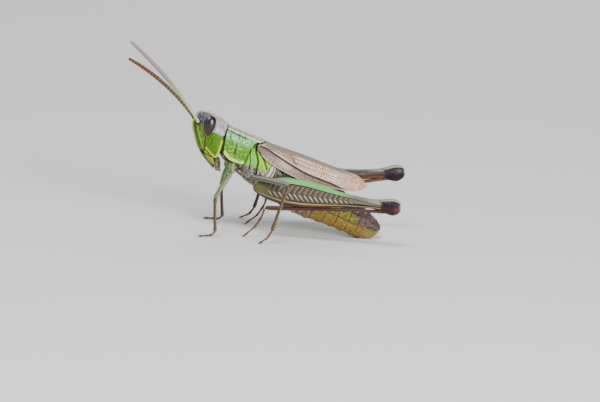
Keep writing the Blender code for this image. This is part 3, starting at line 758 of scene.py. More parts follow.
class WingSettings(bpy.types.PropertyGroup):
    back: colour("Back strip", "Grey-beige of the strip over the back", 0.2, 0.165, 0.125)
    field: colour("Middle field", "Reddish brown of the middle", 0.12, 0.055, 0.03)
    cell: colour("Cells", "Pinkish white of the pale cells", 0.9, 0.66, 0.52)
    end_cell: colour("Tip cells", "Pinkish brown of the cells at the tip", 0.4, 0.175, 0.115)
    edge_field: colour("Front field", "Pinkish grey of the lower field", 0.36, 0.28, 0.225)
    vein: colour("Veins", "Golden brown of the fine veins", 0.085, 0.036, 0.018)
    pale_vein: colour("Pale veins", "Cream of the veins at the root and the tip", 0.72, 0.55, 0.36)
    # This colour also paints the shadow below the main vein
    main_vein_and_shadow: colour("Main vein", "Dark brown of the main vein", 0.022, 0.013, 0.009)
    cream: colour("Cream vein", "Cream line along the main vein", 0.75, 0.66, 0.42)
    vein_height: length("Vein height", "How far the veins stand up", 0.012, 0.1)


class WalkingLegSettings(bpy.types.PropertyGroup):
    front: colour("Front legs", "Grey-green of the front thighs", 0.08, 0.195, 0.042)
    middle: colour("Middle legs", "Grey of the middle thighs", 0.135, 0.135, 0.13)
    shin: colour("Shins", "Brown of the shins", 0.076, 0.049, 0.026)
    foot: colour("Feet", "Reddish brown of the feet", 0.13, 0.05, 0.032)
    stripe: colour("Stripes", "Dark lines along the legs", 0.035, 0.028, 0.018)


class JumpingLegSettings(bpy.types.PropertyGroup):
    green: colour("Green band", "Green along the top", 0.15, 0.36, 0.11)
    ground: colour("Outer face", "Olive grey between the ribs", 0.085, 0.07, 0.045)
    rib: colour("Ribs", "Creamy white of the lower ribs", 0.66, 0.6, 0.46)
    ochre: colour("Lower band", "Ochre brown of the lower band", 0.105, 0.045, 0.008)
    line: colour("Lines", "Near-black lines", 0.014, 0.009, 0.008)
    inner: colour("Inner face", "Brown of the inner face", 0.048, 0.019, 0.017)
    inner_low: colour("Inner lower band", "Orange-brown, low on the inside", 0.115, 0.045, 0.016)
    knee: colour("Knee", "Near-black of the knee", 0.013, 0.007, 0.012)
    knee_low: colour("Lower knee", "Maroon brown of the lower knee", 0.026, 0.008, 0.008)
    outline: colour("Knee edge", "Cream round the knee", 0.28, 0.28, 0.19)
    shin: colour("Shins", "Dark red-brown of the shins", 0.085, 0.03, 0.02)
    spine: colour("Spine bases", "Pale orange at the spines", 0.5, 0.26, 0.16)
    relief: length("Relief", "Height of the ribs", 0.022, 0.1)


class HairSettings(bpy.types.PropertyGroup):
    pale: colour("Pale hairs", "Colour of the pale hairs", 0.62, 0.56, 0.42)
    dark: colour("Dark hairs", "Colour of the dark hairs", 0.06, 0.038, 0.028)
    thickness: length("Thickness", "Radius at the root", 0.006, 0.05)
    reach: length("Length", "Length of a middling hair", 0.15, 1.0)


class StageSettings(bpy.types.PropertyGroup):
    floor: colour("Floor", "Pale floor", 0.88, 0.88, 0.87)
    brightness: share("Brightness", "Strength of the soft light all round", 0.2)


# --- Head ---


def level_grid(table, rows, columns, offset=0.0):
    """Level rings stacked from low to high, read off a table of height, front, rear and widths."""
    table = along_rows(table, np.linspace(0, 1, rows))
    height, front, rear, half_width, narrowing = table.T
    widest = front + (rear - front) * HEAD_WIDEST
    centres = np.column_stack([widest, np.full(rows, offset), height])
    return closed_rings(centres, (0, 1, 0), (-1, 0, 0), half_width, widest - front, rear - widest,
                        columns, HEAD_SQUARENESS, narrowing)


def eye_distance(grid):
    """How far a place lies from the eye's middle, seen from the side: 1 on the eye's surface."""
    x, z = grid[..., 0] - EYE_CENTRE[0], grid[..., 2] - EYE_CENTRE[2]
    upright = z * math.cos(EYE_TILT) - x * math.sin(EYE_TILT)
    forward = x * math.cos(EYE_TILT) + z * math.sin(EYE_TILT)
    upright = upright / EYE_RADII[2]
    narrow = 1 - EYE_NARROWING * (1 - upright) / 2
    return np.hypot(forward / (EYE_RADII[0] * narrow), upright)


CROWN_EDGE = (
    (-2.6, 0.1), (-2.38, -0.02), (-2.28, -0.38), (-1.98, -0.46), (-1.4, -0.62), (-0.95, -0.8),
    (0.2, -0.72),
)
COSTA_WIDTH = ((-2.46, 0.2), (-1.6, 0.17), (-0.9, 0.13), (-0.3, 0.12), (0.2, 0.17))
CHEEK_FURROW = ((-1.26, -1.28), (-1.12, -1.7), (-0.9, -2.22), (-0.84, -2.5))
# The cheek's lower edge, over the jaw: station and height
MOUTH_EDGE = (
    (-1.4, -2.3), (-1.14, -2.33), (-0.85, -2.2), (-0.62, -2.28), (-0.26, -2.46), (0.2, -2.56),
)
FACE_KEEL = ((0.44, -0.95), (0.55, -1.5), (0.62, -2.4))
ANTENNA_SOCKET = (-2.1, 0.45, -0.62)
EYELETS = ((-2.36, 0, -0.82), (-2.02, 0.48, -0.34))
BROW_DENT = ((-2.26, 0.38, 0), (-2.16, 0.46, -0.34))
BROW_SHADE = ((-1.55, 0.26), (-2, 0.14), (-2, -0.42))
TEMPLE_SPOTS = ((-0.6, -0.22), (-0.3, -0.34), (-0.12, -0.46))


def build_head(look):
    """The head: level rings, pushed along their normals by the ridges, sockets and furrows."""
    grid, lift = level_grid(HEAD, *GRIDS["head"])
    s, side, t = grid[..., 0], np.abs(grid[..., 1]), grid[..., 2]
    mirrored = np.stack([s, side, t], axis=-1)
    front = ramp(0.25, 0.75, lift)
    flank = ramp(0.9, 0.55, lift) * ramp(0.3, 0.6, side)
    below_crown = ramp(0.24, 0.08, t)

    costa_half = curve(COSTA_WIDTH, t)
    costa_edge = hill(side, costa_half, 0.035) * front * below_crown
    costa = ramp(costa_half + 0.07, costa_half - 0.01, side) * front * below_crown
    keel_gap = path_gap(mirrored[..., 1:], FACE_KEEL)
    keel = hill(keel_gap, 0, 0.045) * ramp(0.0, 0.3, lift)
    socket = np.linalg.norm(mirrored - ANTENNA_SOCKET, axis=-1)
    eyelet = sum(hill(np.linalg.norm(mirrored - place, axis=-1), 0, 0.055) for place in EYELETS)
    around_eye = eye_distance(grid)
    eye_rim = hill(around_eye, 1.1, 0.07) * ramp(0.35, 0.6, side)
    eye_ditch = hill(around_eye, 1.26, 0.06) * ramp(0.35, 0.6, side)
    furrow_gap = path_gap(grid[..., [0, 2]], CHEEK_FURROW)
    furrow = hill(furrow_gap, 0, 0.035) * flank
    lip = hill(furrow_gap, 0.09, 0.05) * flank
    mouth_gap = t - curve(MOUTH_EDGE, s)
    at_mouth = ramp(0.25, 0.5, side) * ramp(0.0, -0.3, s) * ramp(-1.3, -1.1, s)
    mouth_line = hill(mouth_gap, -0.01, 0.035) * at_mouth
    dent = hill(path_gap(mirrored, BROW_DENT), 0, 0.14)
    brow = hill(side, 0.3, 0.035) * ramp(0.05, 0.15, t) * ramp(-1.4, -1.7, s)
    middle_line = hill(side, 0, 0.02) * ramp(0.1, 0.2, t)

    raised = look.relief / MM * (
        0.7 * costa + 0.9 * costa_edge + 0.9 * keel + 0.6 * eye_rim - 0.5 * eye_ditch
        + hill(socket, 0.22, 0.05) - 2.2 * hill(socket, 0, 0.13) + 0.8 * eyelet
        - 1.3 * furrow - 1.2 * mouth_line + 0.3 * lip - 0.9 * dent + 0.5 * brow + 0.3 * middle_line
    )
    raised = raised + 0.008 * ripple(grid, 0.35, 5) + 0.004 * ripple(grid, 0.14, 6)

    wander = 0.05 * ripple(grid, 0.5, 7)
    crown_edge = curve(CROWN_EDGE, s)
    crown = ramp(crown_edge - 0.05, crown_edge + 0.08, t + wander)
    temple = crown * ramp(0.16, -0.25, t + 2 * wander)
    rear = curve([(row[0], row[2]) for row in HEAD], t)
    rear_rim = ramp(rear - 0.26, rear - 0.12, s) * ramp(-0.95, -1.25, t)
    low_rim = hill(mouth_gap, 0.12, 0.075) * ramp(-1.0, -0.8, s)
    cool = hill(side, 0.36, 0.13) * front * ramp(-2.2, -1.3, t) * ramp(-0.1, -0.5, t)
    brow = hill(path_gap(mirrored[..., [0, 2]], BROW_SHADE), 0, 0.3)
    spots = hill(path_gap(grid[..., [0, 2]], TEMPLE_SPOTS), 0, 0.13)
    shape = Shape("head_capsule")
    shape.add_rings(
        in_floor(pushed(grid, raised)),
        crown=crown,
        temple=temple,
        rim=np.clip(0.9 * costa + 0.35 * keel + rear_rim + low_rim + 0.8 * eye_rim
                    * ramp(-1.4, -1.6, s), 0, 1) * (1 - crown),
        brow=ramp(0.15, 0.6, brow) * ramp(0.08, 0.2, side + 0.15 * ramp(-1.6, -1.3, s)),
        jaw=ramp(0.0, -0.05, mouth_gap) * at_mouth * ramp(-1.05, -0.9, s),
        spots=spots * ramp(0.3, 0.5, side),
        top=ramp(0.3, 0.16, side + 0.04 * ripple(grid, 0.5, 9)) * ramp(-0.1, 0.08, t),
        chalk=hill(np.hypot((s + 0.34) * 0.6, t + 0.7), 0, 0.13),
        streak=0.5 + 0.5 * np.sin(side * 22 + 0.8 * ripple(grid, 0.8, 8)),
        cool=cool * (1 - crown),
        dark=np.clip(furrow + mouth_line + hill(socket, 0, 0.14) + 1.2 * dent + 0.55 * eyelet
                     + 0.7 * hill(around_eye, 1.04, 0.035) * ramp(0.35, 0.6, side), 0, 1),
        fresh=ramp(0.05, 0.3, side - 0.45) * ramp(-0.9, -1.2, s) * ramp(
            -1.0, -1.4, t) * ramp(0.02, 0.08, furrow_gap),
    )
    shape.make(head_finish(look), "head", ("head",))


def head_finish(look):
    """Painted horn: mottled green below, beige and lavender above, with pits and a soft gloss."""
    finish, blotch, fine, specks = horn("Head horn", 0.1, 0.25, 0.16, 0.05)
    crown, dark = finish["crown"], finish["dark"]
    base = finish.paint(
        look.face,
        (specks(0.9, 0.3, 0.42, 0.78) * 0.85, look.face_shade),
        (finish["fresh"] * blotch.step(0.65, 0.35) * 0.3, look.rim),
        (finish["cool"] * 0.85, look.cool),
        (finish["cool"] * (fine + blotch * 0.3).step(0.55, 0.72) * 0.8, look.dark),
        (finish["rim"] * fine.step(0.15, 0.5), look.rim),
        (crown, look.crown),
        (finish["temple"] * 0.8, look.temple),
        (crown * finish["streak"].step(0.45, 0.9) * 0.65, look.mottle),
        (crown * finish["streak"].step(0.35, 0.05) * 0.5, (0.6, 0.36, 0.38)),
        (finish["temple"] * (blotch - fine * 0.3).step(0.25, 0.45) * 0.5, (0.75, 0.68, 0.7)),
        (crown * specks(0.5, 0.6, 0.52, 0.72) * 0.6, look.mottle),
        (finish["brow"] * (blotch * 0.5 + fine * 0.5 + 0.45).limited(), (0.02, 0.023, 0.04)),
        (finish["brow"] * (blotch - fine * 0.4).step(0.24, 0.4) * 0.35, (0.3, 0.32, 0.36)),
        (finish["spots"] * specks(0.5, 0.7, 0.42, 0.62) * 0.85, (0.12, 0.11, 0.22)),
        (finish["top"] * (blotch * 0.4 + 0.5), (0.62, 0.47, 0.32)),
        (finish["chalk"] * 0.9, (0.36, 0.44, 0.23)),
        (finish["jaw"], (0.24, 0.27, 0.02)),
        (dark, look.dark),
    )
    dimples = finish.pits(0.055)
    return finish.finish(base, fine * 0.25 + 0.24, (dimples, 0.006), (blotch, 0.01))


# --- Eyes ---


def build_eyes(look):
    """Both compound eyes: ellipsoids narrowed towards the foot, leaned forward and put in."""
    finish = eye_finish(look)
    rows, columns = GRIDS["eye"]
    height = -np.cos(np.linspace(EYE_POLE, math.pi - EYE_POLE, rows))
    angle = np.linspace(0, 2 * math.pi, columns, endpoint=False)
    reach = np.sqrt(1 - height ** 2)[:, None]
    narrow = (1 - EYE_NARROWING * (1 - height) / 2)[:, None]
    ball = np.stack([
        EYE_RADII[0] * narrow * reach * np.cos(angle),
        EYE_RADII[1] * narrow * reach * np.sin(angle),
        EYE_RADII[2] * height[:, None] + 0 * angle,
    ], axis=-1)
    turn = np.array(Matrix.Rotation(-EYE_TILT, 3, "Y"))
    for word, sign in (("left", -1), ("right", 1)):
        grid = ball @ turn.T + np.array((EYE_CENTRE[0], sign * EYE_CENTRE[1], EYE_CENTRE[2]))
        outward = ball[..., 1] * sign / EYE_RADII[1]
        shape = Shape(f"compound_eye_{word}")
        shape.add_rings(
            in_floor(grid),
            level=ball[..., 2] / EYE_RADII[2],
            ahead=-ball[..., 0] / EYE_RADII[0],
            rim=ramp(0.42, 0.22, outward),
        )
        shape.make(finish, "eyes", (f"eye_{word}",))


def eye_finish(look):
    """Glossy facets over maroon that turns blue-grey at the upper front, darker at the rim."""
    finish = Finish("Compound eye", Coat_Weight=0.6, Coat_IOR=1.6, Coat_Roughness=0.2)
    level, ahead = finish["level"], finish["ahead"]
    cloud = finish.noise(0.22)
    upper = (level * 0.8 + ahead * 0.8 + cloud * 0.35).step(0.55, 1.3)
    base = finish.paint(
        look.deep,
        ((level * -1.0 + cloud * 0.5 - 0.2).step(0.0, 0.8) * 0.8, (0.04, 0.008, 0.006)),
        (upper * 0.9, look.upper),
        (finish["rim"] * ahead.step(-0.2, 0.4) * 0.6, (0.28, 0.28, 0.34)),
        (finish["rim"] * ahead.step(0.2, -0.3) * 0.9, (0.006, 0.004, 0.004)),
    )
    facets = finish.pits(look.facet / MM, 0.1)
    return finish.finish(base, cloud * 0.06 + 0.25, (1 - facets, 0.004))


# --- Antennae ---

ANTENNA_SEGMENTS = 24
ANTENNA_RADIUS = (
    (0, 0.62), (0.03, 0.7), (0.2, 0.82), (0.45, 1), (0.65, 1.05), (0.85, 0.95), (1, 0.7),
)


def build_antennae(look):
    """Both antennae: a quadratic curve carries rings that swell towards each segment's end."""
    thickness = look.thickness / MM
    for word, (root, bend, tip) in ANTENNAE.items():
        root, bend, tip = (np.array(point) for point in (root, bend, tip))
        place = np.linspace(0, 1, 12 * ANTENNA_SEGMENTS + 1)
        run = place[:, None]
        centres = root * (1 - run) ** 2 + 2 * bend * run * (1 - run) + tip * run ** 2
        tangent = unit(np.gradient(centres, axis=0))
        across = unit(np.cross(tangent, (0.0, -1.0, 0.25)))
        upright = np.cross(across, tangent)
        first = place * ANTENNA_SEGMENTS
        within = first % 1
        neck = hill(np.minimum(within, 1 - within), 0, 0.1)
        radius = thickness * curve(ANTENNA_RADIUS, place)
        radius = radius * (0.97 + 0.07 * within ** 2 - 0.1 * neck)
        radius = np.where(first < 1, thickness * (0.88 - 0.3 * np.abs(first - 0.5)), radius)
        radius = radius * np.sqrt(np.clip((1.003 - place) * 60, 0.02, 1))
        grid, _ = closed_rings(centres, across, upright, radius, radius * 0.86, radius * 0.86, 18)
        shape = Shape(f"feeler_{word}")
        joint = hill(np.minimum(within, 1 - within), 0, 0.11)
        shape.add_rings(grid, along=place[:, None], joint=joint[:, None])
        base, end = (getattr(look, f"{word}_{part}") for part in ("base", "tip"))
        shape.make(antenna_finish(look, word, base, end), "antennae", (f"antenna_{word}",))


def antenna_finish(look, word, base, end):
    """Satin horn that changes colour along the antenna, with rings at the joints."""
    finish = Finish(f"Antenna horn {word}", Sheen_Weight=0.2)
    along, joint = finish["along"], finish["joint"]
    fine = finish.noise(0.04, 4.0)
    colour = finish.paint(
        base,
        ((along + fine * 0.2).step(0.15, 0.75), end),
        (joint * fine.step(0.2, 0.6) * 0.45, look.joint),
        ((fine * (1 - joint)).step(0.55, 0.75) * 0.3, (0.03, 0.02, 0.012)),
    )
    return finish.finish(colour, fine * 0.2 + 0.45, (fine, 0.006))


# --- Mouthparts ---


def build_mouthparts(look):
    """Lips and jaws of level rings, and four palps of rings along short bent paths."""
    pieces = {
        "upper_lip_plate": (UPPER_LIP, (0.0,), ("upper_lip",), 0.0),
        "jaws": (MANDIBLE, (-MANDIBLE_OFFSET, MANDIBLE_OFFSET),
                 ("mandible_left", "mandible_right"), 1.0),
        "lower_lip_plate": (LOWER_LIP, (0.0,), ("lower_lip",), 0.0),
    }
    finish = mouth_finish(look)
    for name, (table, offsets, nodes, jaw) in pieces.items():
        shape = Shape(name)
        for offset in offsets:
            grid, lift = level_grid(table, *GRIDS["lip"], offset)
            low = ramp(table[0][0], table[-1][0], grid[..., 2])
            groove = hill(grid[..., 1], 0, 0.03) * (1 - jaw) + hill(low, 0.3, 0.05) * (1 - jaw)
            raised = 0.006 * ripple(grid, 0.2, 21) - 0.03 * groove
            ends = ramp(0.88, 1.0, low) + ramp(0.22, 0.1, low)
            dark = 0.8 * groove + jaw * (ends + 0.9 * ramp(0.62, 0.85, np.abs(lift)))
            shape.add_rings(in_floor(pushed(grid, raised)), jaw=jaw, dark=np.clip(dark, 0, 1))
        shape.make(finish, "mouthparts", nodes)
    shape = Shape("palps")
    rows, columns = GRIDS["palp"]
    for side in (-1, 1):
        for path, radius in ((PALP_PATH, 0.125), (SMALL_PALP_PATH, 0.09)):
            path = np.array(path) * (1, side, 1)
            share = np.linspace(0, 1, rows)
            within = share * 3 % 1
            swell = 1 - 0.32 * hill(within, 0.0, 0.14) - 0.32 * hill(within, 1, 0.14)
            swell = radius * swell * np.sqrt(np.clip((1.01 - share) * 9, 0, 1))
            size = np.column_stack([share, swell])
            grid, _, place = sweep(in_floor(path), size, size, size, rows, columns, (1, 0, 0.3))
            within = place * 3 % 1
            knuckle = hill(within, 0, 0.12) + hill(within, 1, 0.12)
            shape.add_rings(grid, palp=1.0, dark=0.75 * np.clip(knuckle, 0, 1))
    shape.make(finish, "mouthparts", ("palp_left", "palp_right"))


def mouth_finish(look):
    """Grey lips with dark spots, olive jaws and cream palps."""
    finish, _, fine, specks = horn("Mouth horn", 0.08, 0.3, 0.13, 0.04)
    base = finish.paint(
        look.lip,
        (finish["jaw"], look.jaw),
        (finish["palp"], look.palp),
        (specks(0.8, 0.4, 0.6, 0.78) * 0.6, look.dark),
        (finish["palp"] * specks(0.6, 0.5, 0.5, 0.66) * 0.6, (0.1, 0.06, 0.05)),
        (finish["dark"], look.dark),
    )
    return finish.finish(base, fine * 0.25 + 0.3, (fine, 0.008))


# --- Thorax ---


def trunk_grid(stations, columns, shrink=0.0):
    """Trunk rings square to the body's axis, read off the table of the trunk."""
    half_width, top, bottom = curve(TRUNK, stations).T
    widest = top + (bottom - top) * WIDEST_LEVEL
    centres = np.column_stack([stations, 0 * stations, widest])
    return closed_rings(centres, (0, 1, 0), (0, 0, 1), half_width - shrink, top - widest - shrink,
                        widest - bottom - shrink, columns, TRUNK_SQUARENESS)


# Seams of the side plates in the body frame (s, t), and the hip sockets with their radii
PLATE_SEAMS = (
    ((2, -0.6), (2.02, -1.01), (2.19, -1.33), (2.33, -1.66), (2.42, -1.89), (2.5, -2.5)),
    ((2.44, -0.6), (2.48, -0.88), (2.7, -1.18), (2.85, -1.42), (2.92, -1.75), (3.1, -2.4)),
    ((2.84, -0.6), (3, -0.95), (3.26, -1.23), (3.6, -1.63), (3.94, -2.3)),
    ((3.5, -0.6), (3.84, -1.16), (4, -1.54), (4.36, -2.1)),
    ((4.1, -0.8), (4.5, -1.24), (4.96, -1.7), (5.1, -2.3)),
)
BELLY_EDGE = (
    (-0.3, -1.2), (0.4, -1.75), (1.2, -2.02), (1.9, -2.12), (2.9, -1.9), (3.7, -2.05), (5.2, -2.4),
)
SEAM_WIDTHS = (0.034, 0.075, 0.055, 0.045, 0.04, 0.038)
LOW_SEAM = ((0.3, -1.95), (1.1, -2.26), (2.2, -2.5), (3.2, -2.62), (4.3, -2.55), (5.1, -2.7))
HIP_SOCKETS = (((0.86, -2.42), 0.3), ((1.98, -2.62), 0.3), ((3.45, -2.55), 0.42))


# The pale hinge between the back shield and each wing's root: its line, and its radius along it
WING_HINGE = ((2.42, 1.02, -0.46), (2.6, 0.98, -0.33), (2.76, 0.86, -0.24), (2.98, 0.64, -0.17))
HINGE_RADIUS = ((0, 0.03), (0.2, 0.085), (0.4, 0.055), (0.62, 0.09), (0.85, 0.06), (1, 0.02))


def build_thorax(look):
    """The thorax and neck: one skin of trunk rings, seams pressed in between its side plates."""
    rows, columns = GRIDS["thorax"]
    grid, _ = trunk_grid(np.linspace(*THORAX_SPAN, rows), columns)
    s, side, t = grid[..., 0], np.abs(grid[..., 1]), grid[..., 2]
    flat = grid[..., [0, 2]]
    flank = ramp(0.25, 0.6, side)
    gaps = [path_gap(flat, seam) for seam in (*PLATE_SEAMS, LOW_SEAM)]
    seam = np.clip(sum(hill(gap, 0, width) for gap, width in zip(gaps, SEAM_WIDTHS)), 0, 1) * flank
    lip = sum(hill(gap, width + 0.06, 0.04) for gap, width in zip(gaps[:-1], SEAM_WIDTHS))
    lip = np.clip(lip, 0, 1) * flank
    plate_crown = ramp(0.05, 0.35, np.minimum.reduce(gaps)) * flank
    sockets = sum(
        hill(np.linalg.norm(flat - np.array(place), axis=-1), radius, 0.06)
        for place, radius in HIP_SOCKETS
    ) * ramp(0.2, 0.5, side)
    # Painted light and shade: the plates behind the second seam are lightened as if sunlit, and
    # those behind the fourth darkened as a shaded hollow
    sun, hollow = (
        ramp(-0.03, 0.05, s - curve([point[::-1] for point in path[::-1]], t))
        for path in (PLATE_SEAMS[1], PLATE_SEAMS[3])
    )
    belly_edge = curve(BELLY_EDGE, s)
    belly = ramp(0.1, -0.14, t - belly_edge + 0.06 * ripple(grid, 0.6, 31))
    neck_folds = hill((s / 0.11) % 1, 0.5, 0.2) * ramp(0.5, 0.3, s)
    keel = hill(side, 0, 0.06) * ramp(-2.4, -2.8, t)
    raised = look.relief / MM * (
        0.6 * plate_crown + 0.3 * lip - 1.2 * seam + 0.6 * sockets - 0.4 * neck_folds + 0.5 * keel
    ) + 0.012 * ripple(grid, 0.5, 32) + 0.006 * ripple(grid, 0.18, 33)
    raised = raised * ramp(5.15, 4.9, s) - 0.1 * ramp(4.95, 5.15, s)
    shape = Shape("thorax_skin")
    shape.add_rings(
        in_floor(pushed(grid, raised)),
        seam=np.clip(seam + 0.5 * ramp(4.85, 5.05, s), 0, 1),
        edge=lip * (1 - belly),
        belly=belly,
        sun=sun,
        hollow=hollow * flank * (1 - belly),
        # Painted shade: the neck near-black, where it lies under the head and the shield's front
        neck=ramp(0.55, 0.3, s),
    )
    for turn in (-1, 1):
        path = in_floor(np.array(WING_HINGE) * (1, turn, 1))
        hinge, _, _ = sweep(path, *[HINGE_RADIUS] * 3, *GRIDS["hinge"])
        shape.add_rings(hinge, hinge=1.0)
    shape.make(thorax_finish(look), "trunk", ("neck", "prothorax", "mesothorax", "metathorax"))


def thorax_finish(look):
    """Green plates with yellow edges and dark seams over a mottled grey-brown belly, with painted
    light on the middle plates and painted shade in the rear hollow and on the neck.
    """
    finish, blotch, fine, specks = horn("Thorax horn", 0.12, 0.25, 0.2, 0.06)
    belly = finish["belly"]
    base = finish.paint(
        look.plate,
        # Painted light: the sunlit plates in a lighter yellow-green
        (finish["sun"], (0.23, 0.46, 0.026)),
        (specks(0.8, 0.4, 0.55, 0.75) * 0.55, (0.06, 0.19, 0.02)),
        (finish["edge"] * 0.6, look.edge),
        # Painted shade: the hollow at the hind hip in dark brown; the cream specks on it are the
        # horn's own
        (finish["hollow"], (0.04, 0.028, 0.018)),
        (finish["hollow"] * specks(0.5, 0.6, 0.56, 0.7) * 0.8, (0.5, 0.45, 0.3)),
        (belly, look.belly),
        (belly * specks(0.6, 0.6, 0.52, 0.64) * 0.9, (0.035, 0.024, 0.016)),
        (belly * (blotch * 0.8 - fine * 0.5).step(0.14, 0.02) * 0.8, (0.75, 0.66, 0.5)),
        # Painted shade: the neck near-black, under the head and the shield's front
        (finish["neck"] * 0.85, (0.02, 0.022, 0.012)),
        (finish["seam"], look.seam),
        (finish["hinge"], (0.62, 0.58, 0.46)),
        (finish["hinge"] * specks(0.6, 0.5, 0.5, 0.66) * 0.6, (0.12, 0.09, 0.05)),
    )
    return finish.finish(base, fine * 0.3 + 0.28, (blotch, 0.02), (finish.pits(0.06), 0.008))


# --- Back shield ---

# Furrows of the back shield in the body frame (s, t) on its sides, and stations on its top
SHIELD_FURROWS = (
    ((0.95, -0.8), (1.02, -1.2), (1.08, -1.62)), ((0.32, -0.42), (0.42, -0.7)),
    ((0.88, -0.22), (0.97, -0.55)), ((1.36, -0.2), (1.44, -0.4)),
)
# Painted highlights: pale streaks on the shield's sides that stand in for the glints of its glossy
# horn
SHIELD_HIGHLIGHT_STREAKS = (
    ((0.62, -0.79), (0.77, -0.61), (0.92, -0.39)), ((0.65, -0.78), (0.8, -0.83), (0.93, -0.83)),
    ((0.1, -0.59), (0.07, -0.45)), ((1.09, -0.55), (1.08, -0.36)), ((1.36, -0.63), (1.45, -0.49)),
    ((1.11, -1.17), (1.4, -1.12)), ((0.43, -0.37), (0.57, -0.5)),
)
TOP_FURROWS = ((0.5, 0.25), (0.94, 0.5), (1.36, 1))


def shield_grid(rows, columns):
    """The back shield's outside: across from -1 to 1 over the back, along from front to rear.

    The middle is the ridge of the back, 0.36 is the side keel and 1 the lower edge of the side.
    """
    across = np.linspace(-1, 1, columns)
    reach = np.abs(across)
    along = np.linspace(0, 1, rows)[:, None]
    front = curve(SHIELD_FRONT_EDGE, reach)
    rear = curve(SHIELD_REAR_EDGE, reach)
    station = front + (rear - front) * along
    top_width, side_width, lower_edge = np.moveaxis(curve(SHIELD, station), -1, 0)
    top_share, side_share, keel_share, edge_share = curve(SHIELD_SECTION, reach).T
    keel = SHIELD_TOP - CARINA_DROP
    width = top_width * top_share + side_width * side_share
    height = SHIELD_TOP - CARINA_DROP * keel_share + (lower_edge - keel) * edge_share
    grid = np.stack([station, width * np.sign(across), height], axis=-1)
    return grid, np.broadcast_to(reach, station.shape), np.broadcast_to(along, station.shape)


def build_back_shield(look):
    """The back shield: a thin saddle with three keels, furrows and a thick rim."""
    grid, reach, along = shield_grid(*GRIDS["shield"])
    normals = grid_normals(grid, grid - (1.4, 0.0, -1.4))
    s, t = grid[..., 0], grid[..., 2]
    on_side = ramp(CARINA_PLACE, CARINA_PLACE + 0.06, reach)
    furrow = sum(
        hill(path_gap(grid[..., [0, 2]], path), 0, width)
        for path, width in zip(SHIELD_FURROWS, (0.05, 0.02, 0.026, 0.024))
    )
    furrow = np.clip(furrow, 0, 1) * on_side
    shaken = grid[..., [0, 2]] + 0.04 * ripple(grid, 0.22, 45)[..., None]
    # Painted highlights: pale streaks along paths shaken by a ripple
    highlight_flecks = sum(hill(path_gap(shaken, path), 0, 0.07) for path in SHIELD_HIGHLIGHT_STREAKS)
    on_top = 1 - on_side
    cross = sum(hill(s, station, 0.035) * deep for station, deep in TOP_FURROWS) * on_top
    side_keel = hill(reach, CARINA_PLACE, 0.028)
    middle_keel = hill(reach, 0, 0.026)
    edge_gap = np.minimum.reduce([along * 2.6, (1 - along) * 2.6, (1 - reach) * 2.6])
    rim = ramp(0.2, 0.04, edge_gap)
    raised = look.relief / MM * (
        side_keel * (1 - 0.5 * cross) + 0.9 * middle_keel * (1 - 0.6 * cross) + 0.45 * rim
        - 1.1 * furrow - 0.7 * cross
    ) + 0.012 * ripple(grid, 0.42, 41) * on_side + 0.006 * ripple(grid, 0.16, 42)
    wander = 0.05 * ripple(grid, 0.5, 43)
    shape = Shape("back_shield")
    shape.add_sheet(
        in_floor(grid + normals * raised[..., None]),
        in_floor(normals) - in_floor((0, 0, 0)),
        SHIELD_WALL,
        top=ramp(CARINA_PLACE + 0.01, CARINA_PLACE - 0.015, reach),
        keel=np.clip(side_keel * 1.2 + 0.5 * middle_keel, 0, 1),
        line=hill(reach, CARINA_PLACE + 0.08, 0.02) * ramp(1.8, 1.2, s),
        low=ramp(-0.55, -1.05, t + wander),
        rim=ramp(0.91, 0.98, reach + 0.015 * ripple(grid, 0.4, 44)),
        dark=np.clip(furrow + 0.45 * cross, 0, 1),
        # Where the painted highlights lie, on the sides only
        shine=np.clip(highlight_flecks, 0, 1) * on_side,
    )
    shape.make(shield_finish(look), "back_shield", ("pronotum",))


def shield_finish(look):
    """Beige top with creamy keels, and sides that go from blue-green to bright green, with painted
    highlights as pale streaks.
    """
    finish, blotch, fine, specks = horn("Shield horn", 0.16, 0.22, 0.17, 0.05)
    top = finish["top"]
    base = finish.paint(
        look.upper,
        (finish["low"], look.lower),
        (specks(1.0, 0.2, 0.4, 0.85) * 0.75, (0.035, 0.13, 0.012)),
        ((blotch * 0.9 - fine * 0.2).step(0.36, 0.14) * 0.5, look.rim),
        # Painted highlight: pale green streaks for the glints of the glossy sides
        ((finish["shine"] * (fine * 1.6 + blotch * 0.6)).step(0.5, 1.25) * 0.6,
         (0.56, 0.82, 0.55)),
        (finish["rim"] * 0.9, look.rim),
        (top, look.disc),
        (top * specks(0.5, 0.6, 0.5, 0.7) * 0.7, (0.15, 0.105, 0.1)),
        (top * (blotch * 0.8 - fine * 0.3).step(0.3, 0.18) * 0.6, (0.68, 0.48, 0.4)),
        (finish["line"] * 0.92, look.dark),
        (finish["keel"] * fine.step(0.1, 0.45), look.keel),
        (finish["dark"] * 0.9, look.dark),
    )
    return finish.finish(base, fine * 0.25 + 0.22, (finish.pits(0.07), 0.01), (blotch, 0.03))


# --- Abdomen ---

CERCUS = ((12.36, 0.5, -2.32), (12.62, 0.52, -2.3), (12.86, 0.42, -2.26))
CERCUS_SIZE = ((0, 0.1), (0.5, 0.085), (0.9, 0.045), (1, 0.01))


def segment_share(stations):
    """How far along its own segment each station of the abdomen lies."""
    joints = np.array(ABDOMEN_JOINTS)
    number = np.clip(np.searchsorted(joints, stations) - 1, 0, len(joints) - 2)
    return (stations - joints[number]) / (joints[number + 1] - joints[number])


